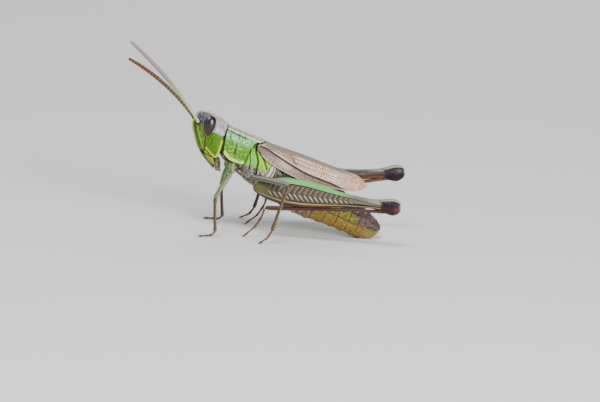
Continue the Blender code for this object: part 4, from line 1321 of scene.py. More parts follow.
def build_abdomen(look):
    """The abdomen: one skin whose segments step down in front like a fan's rows, and the tail."""
    finish = abdomen_finish(look)
    rows, columns = GRIDS["abdomen"]
    stations = np.linspace(ABDOMEN_START, 11.9, rows - CLOSING_ROWS)
    stations = np.concatenate([stations, np.linspace(11.91, 12.06, CLOSING_ROWS)])
    grid, lift = trunk_grid(stations, columns)
    s, side = grid[..., 0], np.abs(grid[..., 1])
    within = segment_share(s)
    flare = 0.06 * ramp(0.55, 1.0, within) - 0.05 * ramp(0.16, 0.0, within)
    lateral = lift + 0.04 * np.sin(within * math.pi) - 0.16
    fold = hill(lateral, -0.3, 0.035)
    raised = flare - 0.06 * fold + 0.006 * ripple(grid, 0.3, 51) - 0.03 * hill(lateral, 0.42, 0.02)
    raised = raised - 0.16 * ramp(5.1, 4.85, s) - 0.3 * ramp(11.9, 12.06, s)
    spot = np.zeros(s.shape)
    for joint in ABDOMEN_JOINTS[1:]:
        for place, level in ((joint - 0.52, 0.12), (joint - 0.3, -0.06)):
            spot = spot + hill(np.hypot((s - place), (lateral - level) * 1.4), 0, 0.07)
    shape = Shape("abdomen_skin")
    shape.add_rings(
        in_floor(pushed(grid, raised)),
        # The painted shade under the wings reaches higher towards the front
        lateral=lateral + 0.35 * ramp(6.8, 5.4, s) * ramp(-0.1, 0.2, lateral),
        within=within,
        tail=ramp(10.6, 12.4, s + 1.2 * lift + 0.3 * ripple(grid, 0.4, 52)),
        spot=np.clip(spot, 0, 1) * ramp(0.2, 0.4, side),
        fold=fold,
        fore=ramp(8.2, 7.2, s + 0.3 * ripple(grid, 0.5, 55)),
    )
    shape.make(finish, "abdomen", tuple(f"abdomen_{number}" for number in range(1, 9)))

    shape = Shape("tail_cone")
    rows, columns = GRIDS["tail"]
    grid, lift = trunk_grid(np.linspace(*TAIL_SPAN, rows), columns, 0.03)
    s = grid[..., 0]
    split = hill(lift, 0.1 + 0.2 * ramp(11.9, 13.0, s), 0.05)
    joint = hill(s, 12.32, 0.04) * ramp(0.1, 0.2, lift)
    raised = 0.01 * ripple(grid, 0.2, 53) - 0.07 * split - 0.05 * joint
    shape.add_rings(
        in_floor(pushed(grid, raised)),
        lateral=lift, within=0.5, fold=np.clip(split + joint, 0, 1),
        tail=ramp(-0.12, 0.12, lift - 0.1 + 0.1 * ripple(grid, 0.3, 54)),
    )
    for sign in (-1, 1):
        path = in_floor(np.array(CERCUS) * (1, sign, 1))
        cercus, _, _ = sweep(path, *[CERCUS_SIZE] * 3, *GRIDS["cercus"])
        shape.add_rings(cercus, lateral=1.0, within=0.5, tail=0.8)
    shape.make(finish, "abdomen", ("tail_plate", "subgenital_plate"))


def abdomen_finish(look):
    """Olive segments with a dark side line and spots, painted shade above under the wings, ochre
    below, and a dark tip.
    """
    finish, blotch, fine, specks = horn("Abdomen horn", 0.08, 0.3, 0.16, 0.05)
    lateral, within, tail = (finish[name] for name in ("lateral", "within", "tail"))
    wander = lateral + blotch * 0.1 - 0.05
    below = wander.step(-0.28, -0.36)
    base = finish.paint(
        look.side,
        (specks(0.6, 0.5, 0.44, 0.62) * 0.75, (0.085, 0.06, 0.01)),
        (below, look.belly),
        (below * finish["fore"], (0.26, 0.19, 0.15)),
        (below * specks(0.6, 0.5, 0.46, 0.62) * 0.65, (0.1, 0.055, 0.014)),
        # Painted shade: near-black over the upper flanks, under the wings
        (wander.step(0.16, 0.32), look.flank),
        (within.step(0.92, 0.97) * 0.3, (0.5, 0.4, 0.1)),
        (within.step(0.13, 0.05) * 0.9, (0.03, 0.02, 0.01)),
        (finish["spot"] * 0.9, (0.012, 0.009, 0.006)),
        (finish["fold"] * 0.85, (0.02, 0.014, 0.008)),
        (tail * 0.95, look.tip),
        (tail * specks(0.5, 0.7, 0.5, 0.68) * 0.8, (0.03, 0.017, 0.016)),
        (tail * (blotch * 0.5 - fine * 0.7).step(-0.05, -0.17) * 0.55, (0.19, 0.13, 0.115)),
        (tail * lateral.step(-0.05, -0.3) * 0.9, look.lower_plate),
    )
    creases = finish.noise(0.05, 3.0, (1.0, 3.0, 3.0))
    return finish.finish(base, fine * 0.25 + 0.35, (creases, 0.012), (finish.pits(0.05), 0.006))


# --- Forewings ---

WING_TIP = 10.82
# Long veins: place down the wing (0 middle of the back, 1 shoulder, 2 lower edge) by station
LONG_VEINS = (
    ((2.4, 0), (10.9, 0)), ((2.4, 0.36), (6, 0.34), (9, 0.3), (10.9, 0.25)),
    ((2.4, 0.72), (6, 0.7), (9, 0.6), (10.9, 0.5)), ((2.4, 1), (6, 1), (9, 0.9), (10.9, 0.8)),
    ((2.4, 1.1), (3.6, 1.1), (6, 1.18), (9, 1.14), (10.9, 1.05)),
    ((2.4, 1.14), (3.6, 1.19), (6, 1.37), (8, 1.38), (10.9, 1.25)),
    ((2.4, 1.19), (2.9, 1.24), (5.6, 1.57), (6.75, 1.66), (8.1, 1.74), (9.2, 1.9), (10.9, 1.98)),
    ((2.4, 1.4), (3.2, 1.46), (5.6, 1.76), (8.1, 1.9), (9.2, 1.98), (10.9, 2)),
    ((2.4, 2), (10.9, 2)),
)
MAIN_VEIN = 6
# Spacing of the cross veins in the field after each long vein, and how far they lean rearward
CROSS_SPACING = (0.3, 0.28, 0.26, 0.15, 0.135, 0.14, 0.17, 0.15)
CROSS_LEAN = (0.1, -0.1, 0.1, 0.05, 0, 0.05, 0.75, 0.65)
CELL_WIDTH = 0.175
# Lower edge of the grey strip along the back: station and height
STRIP_EDGE = (
    (2.4, -0.3), (3.1, -0.3), (4.1, -0.17), (4.9, -0.04), (6.6, 0.04), (7.6, 0.13), (10.8, 0.3),
)


def wing_grid(side, rows, columns):
    """One forewing's outside: from the middle of the back over the shoulder down to its edge."""
    over, down = np.linspace(0, 1, columns // 3), np.linspace(1, 2, columns * 2 // 3)
    reach = np.concatenate([over[:-1], down])
    along = np.linspace(0, 1, rows)[:, None]
    along = 0.75 * along + 0.25 * np.sin(along * math.pi / 2)
    root = curve(WING_ROOT_EDGE, reach / 2)
    station = root + (WING_TIP - root) * along
    shoulder, low_width, top, low = np.moveaxis(curve(WING, station), -1, 0)
    over, down = np.minimum(reach, 1), np.maximum(reach - 1, 0)
    width = 0.01 + (shoulder - 0.01) * over + (low_width - shoulder) * np.sin(down * math.pi / 2)
    height = top - SHOULDER_DROP * over ** 2
    height = height + (low - height) * down
    grid = np.stack([station, side * width, height], axis=-1)
    return grid, np.broadcast_to(reach, station.shape)


def vein_pattern(station, reach, arc, seed):
    """Masks of the long veins and the cross veins between them, by distance in millimetres.

    The arc is the millimetres covered per unit of reach. In each field between two long veins a
    cross vein stands wherever the run along the wing, leaned by the place across the field, passes
    a whole number of spacings, each moved a little by a drawn number.
    """
    draw = np.random.default_rng(seed)
    veins = np.stack([curve(path, station) for path in LONG_VEINS])
    gap = np.abs(reach - veins) * arc
    field = np.clip((reach[None] >= veins).sum(axis=0) - 1, 0, len(LONG_VEINS) - 2)
    low = np.take_along_axis(veins, field[None], axis=0)[0]
    high = np.take_along_axis(veins, field[None] + 1, axis=0)[0]
    inside = (reach - low) / np.maximum(high - low, 1e-6)
    spacing, lean = np.array(CROSS_SPACING)[field], np.array(CROSS_LEAN)[field]
    bow = 0.05 * np.sin(inside * math.pi)
    run = (station - lean * (inside - 0.5) * (high - low) * arc - bow) / spacing
    shifts = draw.uniform(-0.22, 0.22, (len(LONG_VEINS), 128))
    tones = draw.uniform(0, 1, (len(LONG_VEINS), 128))
    number = np.floor(run + 0.5).astype(int) % 128
    crosses = np.abs(run - np.round(run) - shifts[field, number]) * spacing
    cell = np.floor(run - shifts[field, number] + 0.5).astype(int) % 128
    return gap, crosses, tones[field, cell]


def build_forewings(look):
    """Both forewings."""
    finish = wing_finish(look)
    for word, side in (("left", -1), ("right", 1)):
        build_forewing(finish, word, side, look.vein_height / MM)


def build_forewing(finish, word, side, height):
    """A forewing: a thin sheet folded over the back, with raised veins and dented cells."""
    grid, reach = wing_grid(side, *GRIDS["wing"])
    normals = grid_normals(grid, grid - (6.0, 0.0, -1.4))
    step = np.linalg.norm(np.gradient(grid, axis=1), axis=-1)
    arc = step / np.maximum(np.gradient(reach, axis=1), 1e-6)
    station, level = grid[..., 0], grid[..., 2]
    gap, crosses, tone = vein_pattern(station, reach, arc, 61)
    main_place = curve(LONG_VEINS[MAIN_VEIN], station)
    middle = ramp(1.0, 1.06, reach) * (reach < main_place)
    depth = np.cumsum(step, axis=1)
    wander = 0.3 * ripple(grid, 1.2, 63)
    net_edge, net_tone = net(station / CELL_WIDTH, depth / CELL_WIDTH, 0.34, 64)
    netted = ramp(6.0, 7.2, station + wander) * ramp(0.7, 1.05, reach)
    netted = netted * np.where(reach < main_place, 1.0, ramp(8.8, 9.6, station))
    tip = ramp(8.4, 10.0, station + wander)
    tone = tone * (1 - netted) + net_tone * netted
    long_vein = hill(gap[:-2].min(axis=0), 0, 0.026) + 0.4 * hill(gap[-2], 0, 0.02)
    long_vein = np.clip(long_vein, 0, 1) * (1 - 0.75 * netted)
    cross_vein = hill(crosses, 0, 0.027) * (1 - netted) + hill(net_edge, 0, 0.21) * netted
    main = ramp(0.088, 0.055, gap[MAIN_VEIN]) * ramp(9.8, 8.4, station)
    cream = hill(gap[MAIN_VEIN], 0.13, 0.045) * ramp(8.0, 5.0, station) * (reach < main_place)
    second = hill(gap[MAIN_VEIN - 1], 0, 0.035) * ramp(4.4, 3.4, station)
    raised = height * (1.2 * long_vein + 0.8 * cross_vein + 1.6 * main)
    raised = raised + 0.004 * ripple(grid, 0.5, 62)
    lap = 0.012 * side * ramp(0.3, 0.0, reach)
    edge = ramp(1.93, 1.98, reach)
    strip_edge = curve(STRIP_EDGE, station) + 0.02 * wander
    strip = ramp(strip_edge - 0.03, strip_edge + 0.03, level)
    strip = np.maximum(strip, ramp(1.04, 0.96, reach))
    below_main = ramp(0.0, 0.03, reach - main_place)
    patch = hill(np.hypot((station - 8.33) / 0.36, (level + 0.35) / 0.28), 0, 1)
    low_pale = hill(np.hypot((station - 4.6) / 1.1, (level + 0.88) / 0.2), 0, 1) * below_main
    ochre = below_main * hill(gap[MAIN_VEIN], 0.12, 0.11) * ramp(4.0, 5.6, station)
    # Painted shadow: a dark band just below the main vein, which joins the main vein's mask
    shadow = 0.6 * below_main * hill(gap[MAIN_VEIN], 0.25, 0.04)
    main = np.maximum(main, shadow * ramp(5.2, 6.4, station) * ramp(9.2, 8.4, station))
    dusk = below_main * ramp(1.9, 1.82, reach) * ramp(4.8, 3.4, station)
    paleness = ramp(4.7, 6.5, station + 0.9 * (level + 0.4) + 0.5 * wander)
    shape = Shape(f"forewing_sheet_{word}")
    shape.add_sheet(
        in_floor(grid + normals * (raised + lap)[..., None]),
        in_floor(normals) - in_floor((0, 0, 0)),
        WING_WALL,
        back=strip * (1 - tip),
        patch=patch,
        low_pale=low_pale,
        dusk=dusk * (1 - cross_vein),
        ochre=ochre,
        middle=middle,
        long=long_vein,
        cross=cross_vein,
        # The main vein's mask also holds the painted shadow below it
        main=np.maximum(main, second),
        cream=cream,
        tone=tone,
        tip=tip,
        edge=edge,
        paleness=middle * paleness,
    )
    shape.make(finish, "wings", (f"forewing_{word}",))


def wing_finish(look):
    """Parchment: beige back, reddish middle with pale cells, pinkish low field, brown veins, and a
    painted shadow below the main vein.
    """
    finish, blotch, fine, _ = horn("Wing parchment", 0.1, 0.35, 0.22, 0.05)
    tone, tip, pale = finish["tone"], finish["tip"], finish["paleness"]
    veins = (finish["long"] + finish["cross"] * 0.95).limited()
    middle, back = finish["middle"], finish["back"]
    cell = (pale * 1.05 + tone * 0.5 + blotch * 0.3 - 0.42).step(0.2, 0.8)
    speckle = blotch * 0.5 + fine * 0.6
    base = finish.paint(
        look.edge_field,
        (tone.step(0.2, 0.9) * 0.5, (0.46, 0.36, 0.31)),
        (finish["low_pale"] * 0.8, look.cell),
        (middle, look.field),
        (middle * (tone * 0.7 + blotch * 0.4).step(0.5, 0.95) * 0.5, (0.24, 0.13, 0.08)),
        (middle * cell, look.cell),
        (pale * tone.step(0.35, 0.05) * 0.35, (0.48, 0.32, 0.22)),
        (tip, look.end_cell),
        (tip * (fine * 0.7 + blotch * 0.4).step(0.5, 0.7) * 0.5, (0.24, 0.1, 0.065)),
        (finish["dusk"] * (blotch * 0.7 + tone * 0.5).step(0.25, 0.6) * 0.85,
         (0.15, 0.115, 0.105)),
        (tip * (tone * 0.6 + blotch * 0.5).step(0.45, 0.8) * 0.45, look.cell),
        (finish["ochre"] * 0.85, (0.24, 0.145, 0.055)),
        (finish["patch"] * 0.85, (0.92, 0.8, 0.82)),
        (speckle.step(0.52, 0.68) * 0.45, (0.11, 0.06, 0.042)),
        (veins * (1 - tip), look.vein),
        (veins * middle * pale.step(0.25, 0.02) * 0.9, (0.56, 0.4, 0.29)),
        (veins * pale * (1 - tip) * 0.6, (0.22, 0.13, 0.05)),
        (tip * fine.step(0.6, 0.72) * 0.7, (0.8, 0.68, 0.46)),
        (veins * tip * (fine * 1.2).step(0.45, 0.8) * 0.85, look.pale_vein),
        (back, look.back),
        (back * speckle.step(0.45, 0.68) * 0.55, (0.17, 0.135, 0.11)),
        (back * veins * 0.4, (0.15, 0.115, 0.1)),
        (finish["cream"] * 0.9, look.cream),
        # Painted shadow: the main vein's dark brown also fills the band below it
        (finish["main"], look.main_vein_and_shadow),
        (finish["edge"] * 0.65, look.cream),
    )
    return finish.finish(base, fine * 0.2 + 0.38, (fine, 0.006), (tone, 0.004))


# --- Walking legs ---

FRONT_FEMUR = ((0, 0.12), (0.06, 0.155), (0.45, 0.18), (0.85, 0.15), (0.95, 0.165), (1, 0.1))
MIDDLE_FEMUR = ((0, 0.13), (0.05, 0.17), (0.4, 0.215), (0.85, 0.18), (0.95, 0.2), (1, 0.11))
SHIN = (
    (0, 0.07), (0.03, 0.13), (0.08, 0.135), (0.16, 0.105), (0.8, 0.105), (0.97, 0.13), (1, 0.06),
)
HIP = ((0, 0.22), (0.25, 0.3), (0.7, 0.28), (0.92, 0.2), (1, 0.08))
# Pieces of a foot: where each starts and ends along it, and its thickness
FOOT_PIECES = ((0.0, 0.42, 0.085), (0.42, 0.62, 0.085), (0.62, 1.0, 0.072))
FOOT_PIECE = ((0, 0.5), (0.1, 0.85), (0.55, 0.8), (0.88, 1.15), (1, 0.5))
FOOT_PAD = ((0, 0.03), (0.5, 0.055), (1, 0.02))


def cone(root, direction, size, radius, rows=5, columns=6, curl=(0.0, 0.0, 0.0)):
    """A spine: rings that narrow to a point along a direction, curling towards a given side."""
    share = np.linspace(0, 1, rows)[:, None]
    direction = unit(np.array(direction, float))
    centres = np.array(root) + direction * size * share + np.array(curl) * size * share ** 2
    across = unit(np.cross(direction, (0.13, 0.31, 0.94)))
    upright = np.cross(across, direction)
    width = radius * np.maximum(1 - share[:, 0] ** 1.3, 0.06)
    return closed_rings(centres, across, upright, width, width, width, columns)[0]


def add_limb(shape, path, size, rows, columns, up, keels=0.0, flat=1.0, **values):
    """Adds a leg piece: rings along a path, with small lengthwise keels raised round it."""
    upright = [(place, radius * flat) for place, radius in size]
    grid, lift, along = sweep(path, size, upright, upright, rows, columns, up)
    angle = np.linspace(0, 2 * math.pi, columns, endpoint=False)
    ridge = np.maximum(np.cos(3 * angle - math.pi / 2), 0) ** 6 * np.sin(along * math.pi) ** 0.4
    raised = keels * ridge + 0.004 * ripple(grid, 0.2, 71)
    shape.add_rings(pushed(grid, raised), ridge=ridge, lift=lift, **values)


def add_spines(shape, start, end, outward, radius, number, size, lean, **values):
    """Adds a row of spines along a shin, from start to end, standing out to one side."""
    axis = unit(end - start)
    outward = unit(np.array(outward, float) - axis * (np.array(outward, float) @ axis))
    for place in np.linspace(0.22, 0.96, number):
        root = start + (end - start) * place + outward * radius
        grid = cone(root - outward * 0.02, outward + axis * lean, size, 0.028, curl=axis * 0.2)
        shape.add_rings(grid, **values)


def add_foot(shape, path, up, **values):
    """Adds a foot: three swollen pieces, two claws and the pad between them."""
    lengths = [np.linalg.norm(b - a) for a, b in zip(path, path[1:])]
    run = np.concatenate([[0], np.cumsum(lengths)]) / sum(lengths)
    for start, end, thick in FOOT_PIECES:
        shares = np.linspace(start - 0.015, end + 0.015, 4)
        points = np.stack([np.interp(shares, run, axis) for axis in np.transpose(path)], axis=-1)
        size = [(place, thick * swell) for place, swell in FOOT_PIECE]
        add_limb(shape, points, size, *GRIDS["foot"], up, **values)
    tip, back = path[-1], path[-2]
    ahead = unit(tip - back)
    across = unit(np.cross(ahead, (0.0, 0.0, 1.0)))
    root = tip - ahead * 0.04
    for side in (-1, 1):
        grid = cone(root, ahead + 0.7 * side * across + (0, 0, 0.25), 0.3, 0.038, 9, 10,
                    curl=(0.05 * ahead[0], 0.05 * ahead[1], -0.34))
        shape.add_rings(grid, **{**values, "dark": 0.7})
    pad = [root, root + ahead * 0.1, root + ahead * 0.17 + (0, 0, -0.01)]
    add_limb(shape, pad, FOOT_PAD, *GRIDS["pad"], (0, 0, 1), **values)


def build_walking_legs(look):
    """The four walking legs, each piece swept along its own line, with spines, claws and pads."""
    for word, points in SHORT_LEGS.items():
        hip, trochanter, knee, ankle, heel, claw = np.array(points)
        pair, hand = word.split("_")
        thigh, ground = FRONT_FEMUR, look.front
        if pair == "middle":
            thigh, ground = MIDDLE_FEMUR, look.middle
        finish = leg_finish(look, word, ground)
        start = trochanter + (knee - trochanter) * 0.01
        pieces = {
            "hip": ((hip + (hip - trochanter) * 0.25, (hip + trochanter) / 2, trochanter),
                    HIP, (1, 0, 0.2), 0.02, 1.0),
            "thigh": ((start, (start + knee) / 2 + (0, 0, 0.06), knee),
                      thigh, (0, 0, 1), 0.018, 0.9),
            "shin": ((knee, (knee + ankle) / 2 + (-0.02, 0, 0), ankle),
                     SHIN, (1, 0, 0), 0.012, 1.0),
        }
        shapes = {piece: Shape(f"{word}_{piece}") for piece in (*pieces, "foot")}
        for piece, (path, size, up, keels, flat) in pieces.items():
            kind = float(piece == "shin")
            add_limb(shapes[piece], path, size, *GRIDS[piece], up, keels, flat, kind=kind)
        side = math.copysign(1.0, knee[1])
        for outward in ((0.5, side, 0), (-0.3, -side, 0)):
            add_spines(shapes["shin"], knee, ankle, outward, 0.1, 7, 0.14, 0.9, kind=1.0, dark=0.6)
        add_foot(shapes["foot"], (ankle, heel, claw), (0, 0, 1), kind=2.0)
        for shape, node in zip(shapes.values(), ("coxa", "femur", "tibia", "tarsus")):
            shape.make(finish, "walking_legs", (f"{pair}_{node}_{hand}",))


def leg_finish(look, word, ground):
    """Mottled horn with pale keels and dark lines; shins and feet are brown."""
    finish, blotch, fine, specks = horn(f"Leg horn {word}", 0.06, 0.3, 0.14, 0.045)
    kind, ridge, lift = finish["kind"], finish["ridge"], finish["lift"]
    line = lift.step(0.05, 0.2) * lift.step(0.5, 0.35)
    base = finish.paint(
        ground,
        (specks(0.6, 0.5, 0.48, 0.68) * 0.55, (0.1, 0.075, 0.06)),
        ((blotch * 0.5 - fine * 0.7).step(-0.06, -0.18) * 0.3, (0.34, 0.31, 0.24)),
        (line * 0.85, look.stripe),
        (lift.step(0.35, 0.2) * lift.step(-0.35, -0.2) * fine.step(0.3, 0.6) * 0.5,
         (0.05, 0.045, 0.045)),
        (ridge * 0.65, (0.55, 0.5, 0.38)),
        (kind.step(0.4, 0.6), look.shin),
        (kind.step(0.4, 0.6) * ridge * 0.4, (0.5, 0.36, 0.2)),
        (kind.step(1.4, 1.6), look.foot),
        (specks(0.4, 0.6, 0.58, 0.76) * 0.45, (0.04, 0.028, 0.018)),
        (finish["dark"] * 0.8, (0.02, 0.012, 0.01)),
    )
    return finish.finish(base, fine * 0.25 + 0.38, (fine, 0.008))


# --- Jumping legs ---

HIND_SPINES = 13
RIB_SPACING = 0.36
RIB_APEX = 0.0
RIB_BOTTOM = -0.5
RIB_LEAN = (0.5, 0.9)
# Lines along the outer face, as shares of its half height at places along the thigh: the black
# line under the green band, and the cream line over the ochre band
THIGH_TOP_LINE = (
    (0, 0.6), (0.25, 0.65), (0.48, 0.59), (0.62, 0.57), (0.76, 0.3), (0.86, 0.12), (1, 0.1),
)
THIGH_LOW_LINE = (
    (0, -0.58), (0.25, -0.68), (0.43, -0.68), (0.55, -0.73), (0.69, -0.82), (0.83, -0.62),
    (0.88, -0.55), (1, -0.5),
)


def hind_axes(base, knee):
    """A hind leg's own directions: level across the femur, and upright."""
    axis = unit(knee - base)
    across = unit(np.cross(axis, (0.0, 0.0, 1.0)))
    return across, np.cross(across, axis)


def build_jumping_legs(look):
    """Both jumping legs: hip, thigh with ribbed outer face, folded shin with spines, and foot."""
    hip_finish, thigh_finish = hind_hip_finish(look), hind_thigh_finish(look)
    for word, (base, knee) in HIND_FEMORA.items():
        base, knee = np.array(base), np.array(knee)
        side = math.copysign(1.0, base[1])
        build_hind_hip(hip_finish, word, side)
        build_hind_thigh(thigh_finish, word, side, base, knee, look.relief / MM)
        heel = build_hind_shin(look, word, side, base, knee)
        build_hind_foot(look, word, side, heel)


def build_hind_hip(finish, word, side):
    """A hip: rings along a bent path, with six flutes that wind a little along it."""
    shape = Shape(f"hind_{word}_hip")
    rows, columns = GRIDS["hind_hip"]
    path = np.array(HIND_HIP) * (1, side, 1)
    sizes = (HIP_WIDTH, HIP_RISE, HIP_WIDTH)
    grid, _, along = sweep(path, *sizes, rows, columns, (1, 0, 0))
    angle = np.linspace(0, 2 * math.pi, columns, endpoint=False)
    ridge = 0.5 + 0.5 * np.cos(6 * angle + 2.2 * along + 0.8 * np.sin(9 * along))
    shape.add_rings(pushed(grid, 0.03 * ridge * np.sin(along * math.pi)), ridge=ridge)
    shape.make(finish, "trunk", (f"hind_coxa_{word}",))


def build_hind_thigh(finish, word, side, base, knee, relief):
    """A thigh: oval rings along the femur, with keels, slanting ribs and a cap at the knee.

    The height w is -1 at the lower edge and 1 at the upper. A rib stands wherever the run along
    the thigh, leaned back by the distance from the middle line, passes a whole number of spacings.
    """
    across, upright = hind_axes(base, knee)
    length = np.linalg.norm(knee - base)
    rows, columns = GRIDS["hind_thigh"]
    place = np.linspace(0, 1, rows)
    place = 0.7 * place + 0.3 * (0.5 - 0.5 * np.cos(place * math.pi))
    rise, drop, thick = curve(HIND_FEMUR, place).T
    centres = base + (knee - base) * place[:, None]
    grid, _ = closed_rings(centres, across * side * -1, upright, thick, rise, drop, columns)
    local = grid - centres[:, None, :]
    height = local @ upright
    w = np.where(height > 0, height / rise[:, None], height / drop[:, None])
    outer = ramp(-0.1, 0.25, local[..., 1] * side / thick[:, None])
    over, under = (w - curve(line, place)[:, None] for line in (THIGH_TOP_LINE, THIGH_LOW_LINE))
    run = np.broadcast_to(place[:, None] * length, w.shape)
    on_ribs = ramp(0.085, 0.13, place)[:, None] * ramp(0.74, 0.6, place)[:, None]
    lean = np.where(w > RIB_APEX, *RIB_LEAN) * np.maximum(rise, 0.55)[:, None]
    phase = (run - np.abs(w - RIB_APEX) * lean) / RIB_SPACING
    phase = phase - np.round(phase)
    slim = np.where(w > RIB_APEX, 0.085, 0.13 - 0.09 * ramp(0.0, 0.6, RIB_APEX - w))
    rib = hill(phase, 0, slim)
    upper_arm = ramp(RIB_APEX, RIB_APEX + 0.06, w) * ramp(-0.05, -0.11, over)
    lower_arm = ramp(RIB_APEX - 0.02, RIB_APEX - 0.08, w)
    lower_arm = lower_arm * ramp(RIB_BOTTOM, RIB_BOTTOM + 0.06, w)
    upper_arm, lower_arm = (arm * outer * on_ribs for arm in (upper_arm, lower_arm))
    keel_top, keel_low = (hill(gap, 0, 0.04) * outer for gap in (over, under))
    shade = hill(phase, 0.25, 0.12) * (upper_arm + 0.7 * lower_arm)
    seam = hill(w, RIB_APEX, 0.03) * outer * on_ribs
    crest = hill(np.abs(w), 1.0, 0.05)
    in_knee = ramp(0.86, 0.9, place)[:, None] * np.ones(w.shape)
    cap = hill(np.hypot((place[:, None] - 0.945) / 0.042, (w - 0.15) / 0.62), 0.85, 0.2)
    body = ramp(0.01, 0.06, place)[:, None] * (1 - in_knee)
    raised = relief * (
        rib * (0.7 * upper_arm + lower_arm) + 1.3 * (keel_top + keel_low) * body + 0.5 * seam
        + 0.8 * crest * body + 0.8 * cap * outer * in_knee
    ) + 0.006 * ripple(grid, 0.4, 81)
    shape = Shape(f"hind_{word}_thigh")
    shape.add_rings(
        pushed(grid, raised),
        w=w, outer=outer, upper_rib=rib * upper_arm, lower_rib=rib * lower_arm,
        keel_low=keel_low * body, place=place[:, None], shade=shade, over=over, under=under,
    )
    shape.make(finish, "hind_femora", (f"hind_femur_{word}",))


def build_hind_shin(look, word, side, base, knee):
    """A shin: rings along the bent path under the femur, two rows of spines, and four spurs."""
    across, upright = hind_axes(base, knee)
    closer = 0.07 if side < 0 else 0.14
    path = [base + (knee - base) * share - upright * (below - closer)
            for share, below in HIND_TIBIA]
    shape = Shape(f"hind_{word}_shin")
    grid, lift, along = sweep(path, *[HIND_SHIN] * 3, *GRIDS["hind_shin"], upright)
    shape.add_rings(grid, along=along, lift=lift)
    end, down = path[-1], -upright
    ahead = unit(end - path[2])
    for turn in (-0.75, 0.75):
        outward = down + across * side * turn * -1
        for at in np.linspace(0.12, 0.97, HIND_SPINES):
            root = along_rows(path, np.array([0.1 + 0.9 * at]))[0] + unit(outward) * 0.1
            spine = cone(root, outward + ahead * 0.9, 0.18, 0.034, 6, 8, curl=ahead * 0.2)
            shape.add_rings(spine, spine=np.linspace(1, 1.9, 6)[:, None], along=0.5)
    for turn, long in ((-1, 0.34), (-0.3, 0.26), (0.3, 0.26), (1, 0.34)):
        root = end + across * turn * 0.08 + down * 0.04
        direction = ahead + down * 0.45 + across * turn * 0.5
        spur = cone(root, direction, long, 0.034, 7, 8, curl=ahead * 0.15)
        shape.add_rings(spur, spine=np.linspace(1, 2, 7)[:, None], along=0.9)
    ground = look.shin if word == "left" else look.inner_low
    shape.make(hind_shin_finish(look, word, ground), "hind_shins", (f"hind_tibia_{word}",))
    return end


def build_hind_foot(look, word, side, heel):
    """A hind foot, from the end of the shin down to the floor."""
    foot = [heel]
    for ahead_by, outward_by, level in HIND_TARSUS:
        foot.append(np.array((heel[0] - ahead_by, heel[1] + side * outward_by, level)))
    shape = Shape(f"hind_{word}_foot")
    add_foot(shape, foot, (0, 0, 1), kind=2.0)
    foot_look = bpy.context.scene.grasshopper_walking_legs
    foot_finish = leg_finish(foot_look, f"hind {word}", look.shin)
    shape.make(foot_finish, "hind_shins", (f"hind_tarsus_{word}",))


def hind_hip_finish(look):
    """Creamy horn with dark flutes."""
    finish, _, fine, specks = horn("Hind hip horn", 0.08, 0.3, 0.15, 0.05)
    ridge = finish["ridge"]
    base = finish.paint(
        (0.42, 0.39, 0.28),
        (ridge.step(0.45, 0.9) * 0.8, look.rib),
        (ridge.step(0.28, 0.08) * 0.85, look.line),
        (specks(0.5, 0.6, 0.56, 0.74) * 0.6, (0.05, 0.035, 0.02)),
    )
    return finish.finish(base, fine * 0.25 + 0.35, (fine, 0.01))


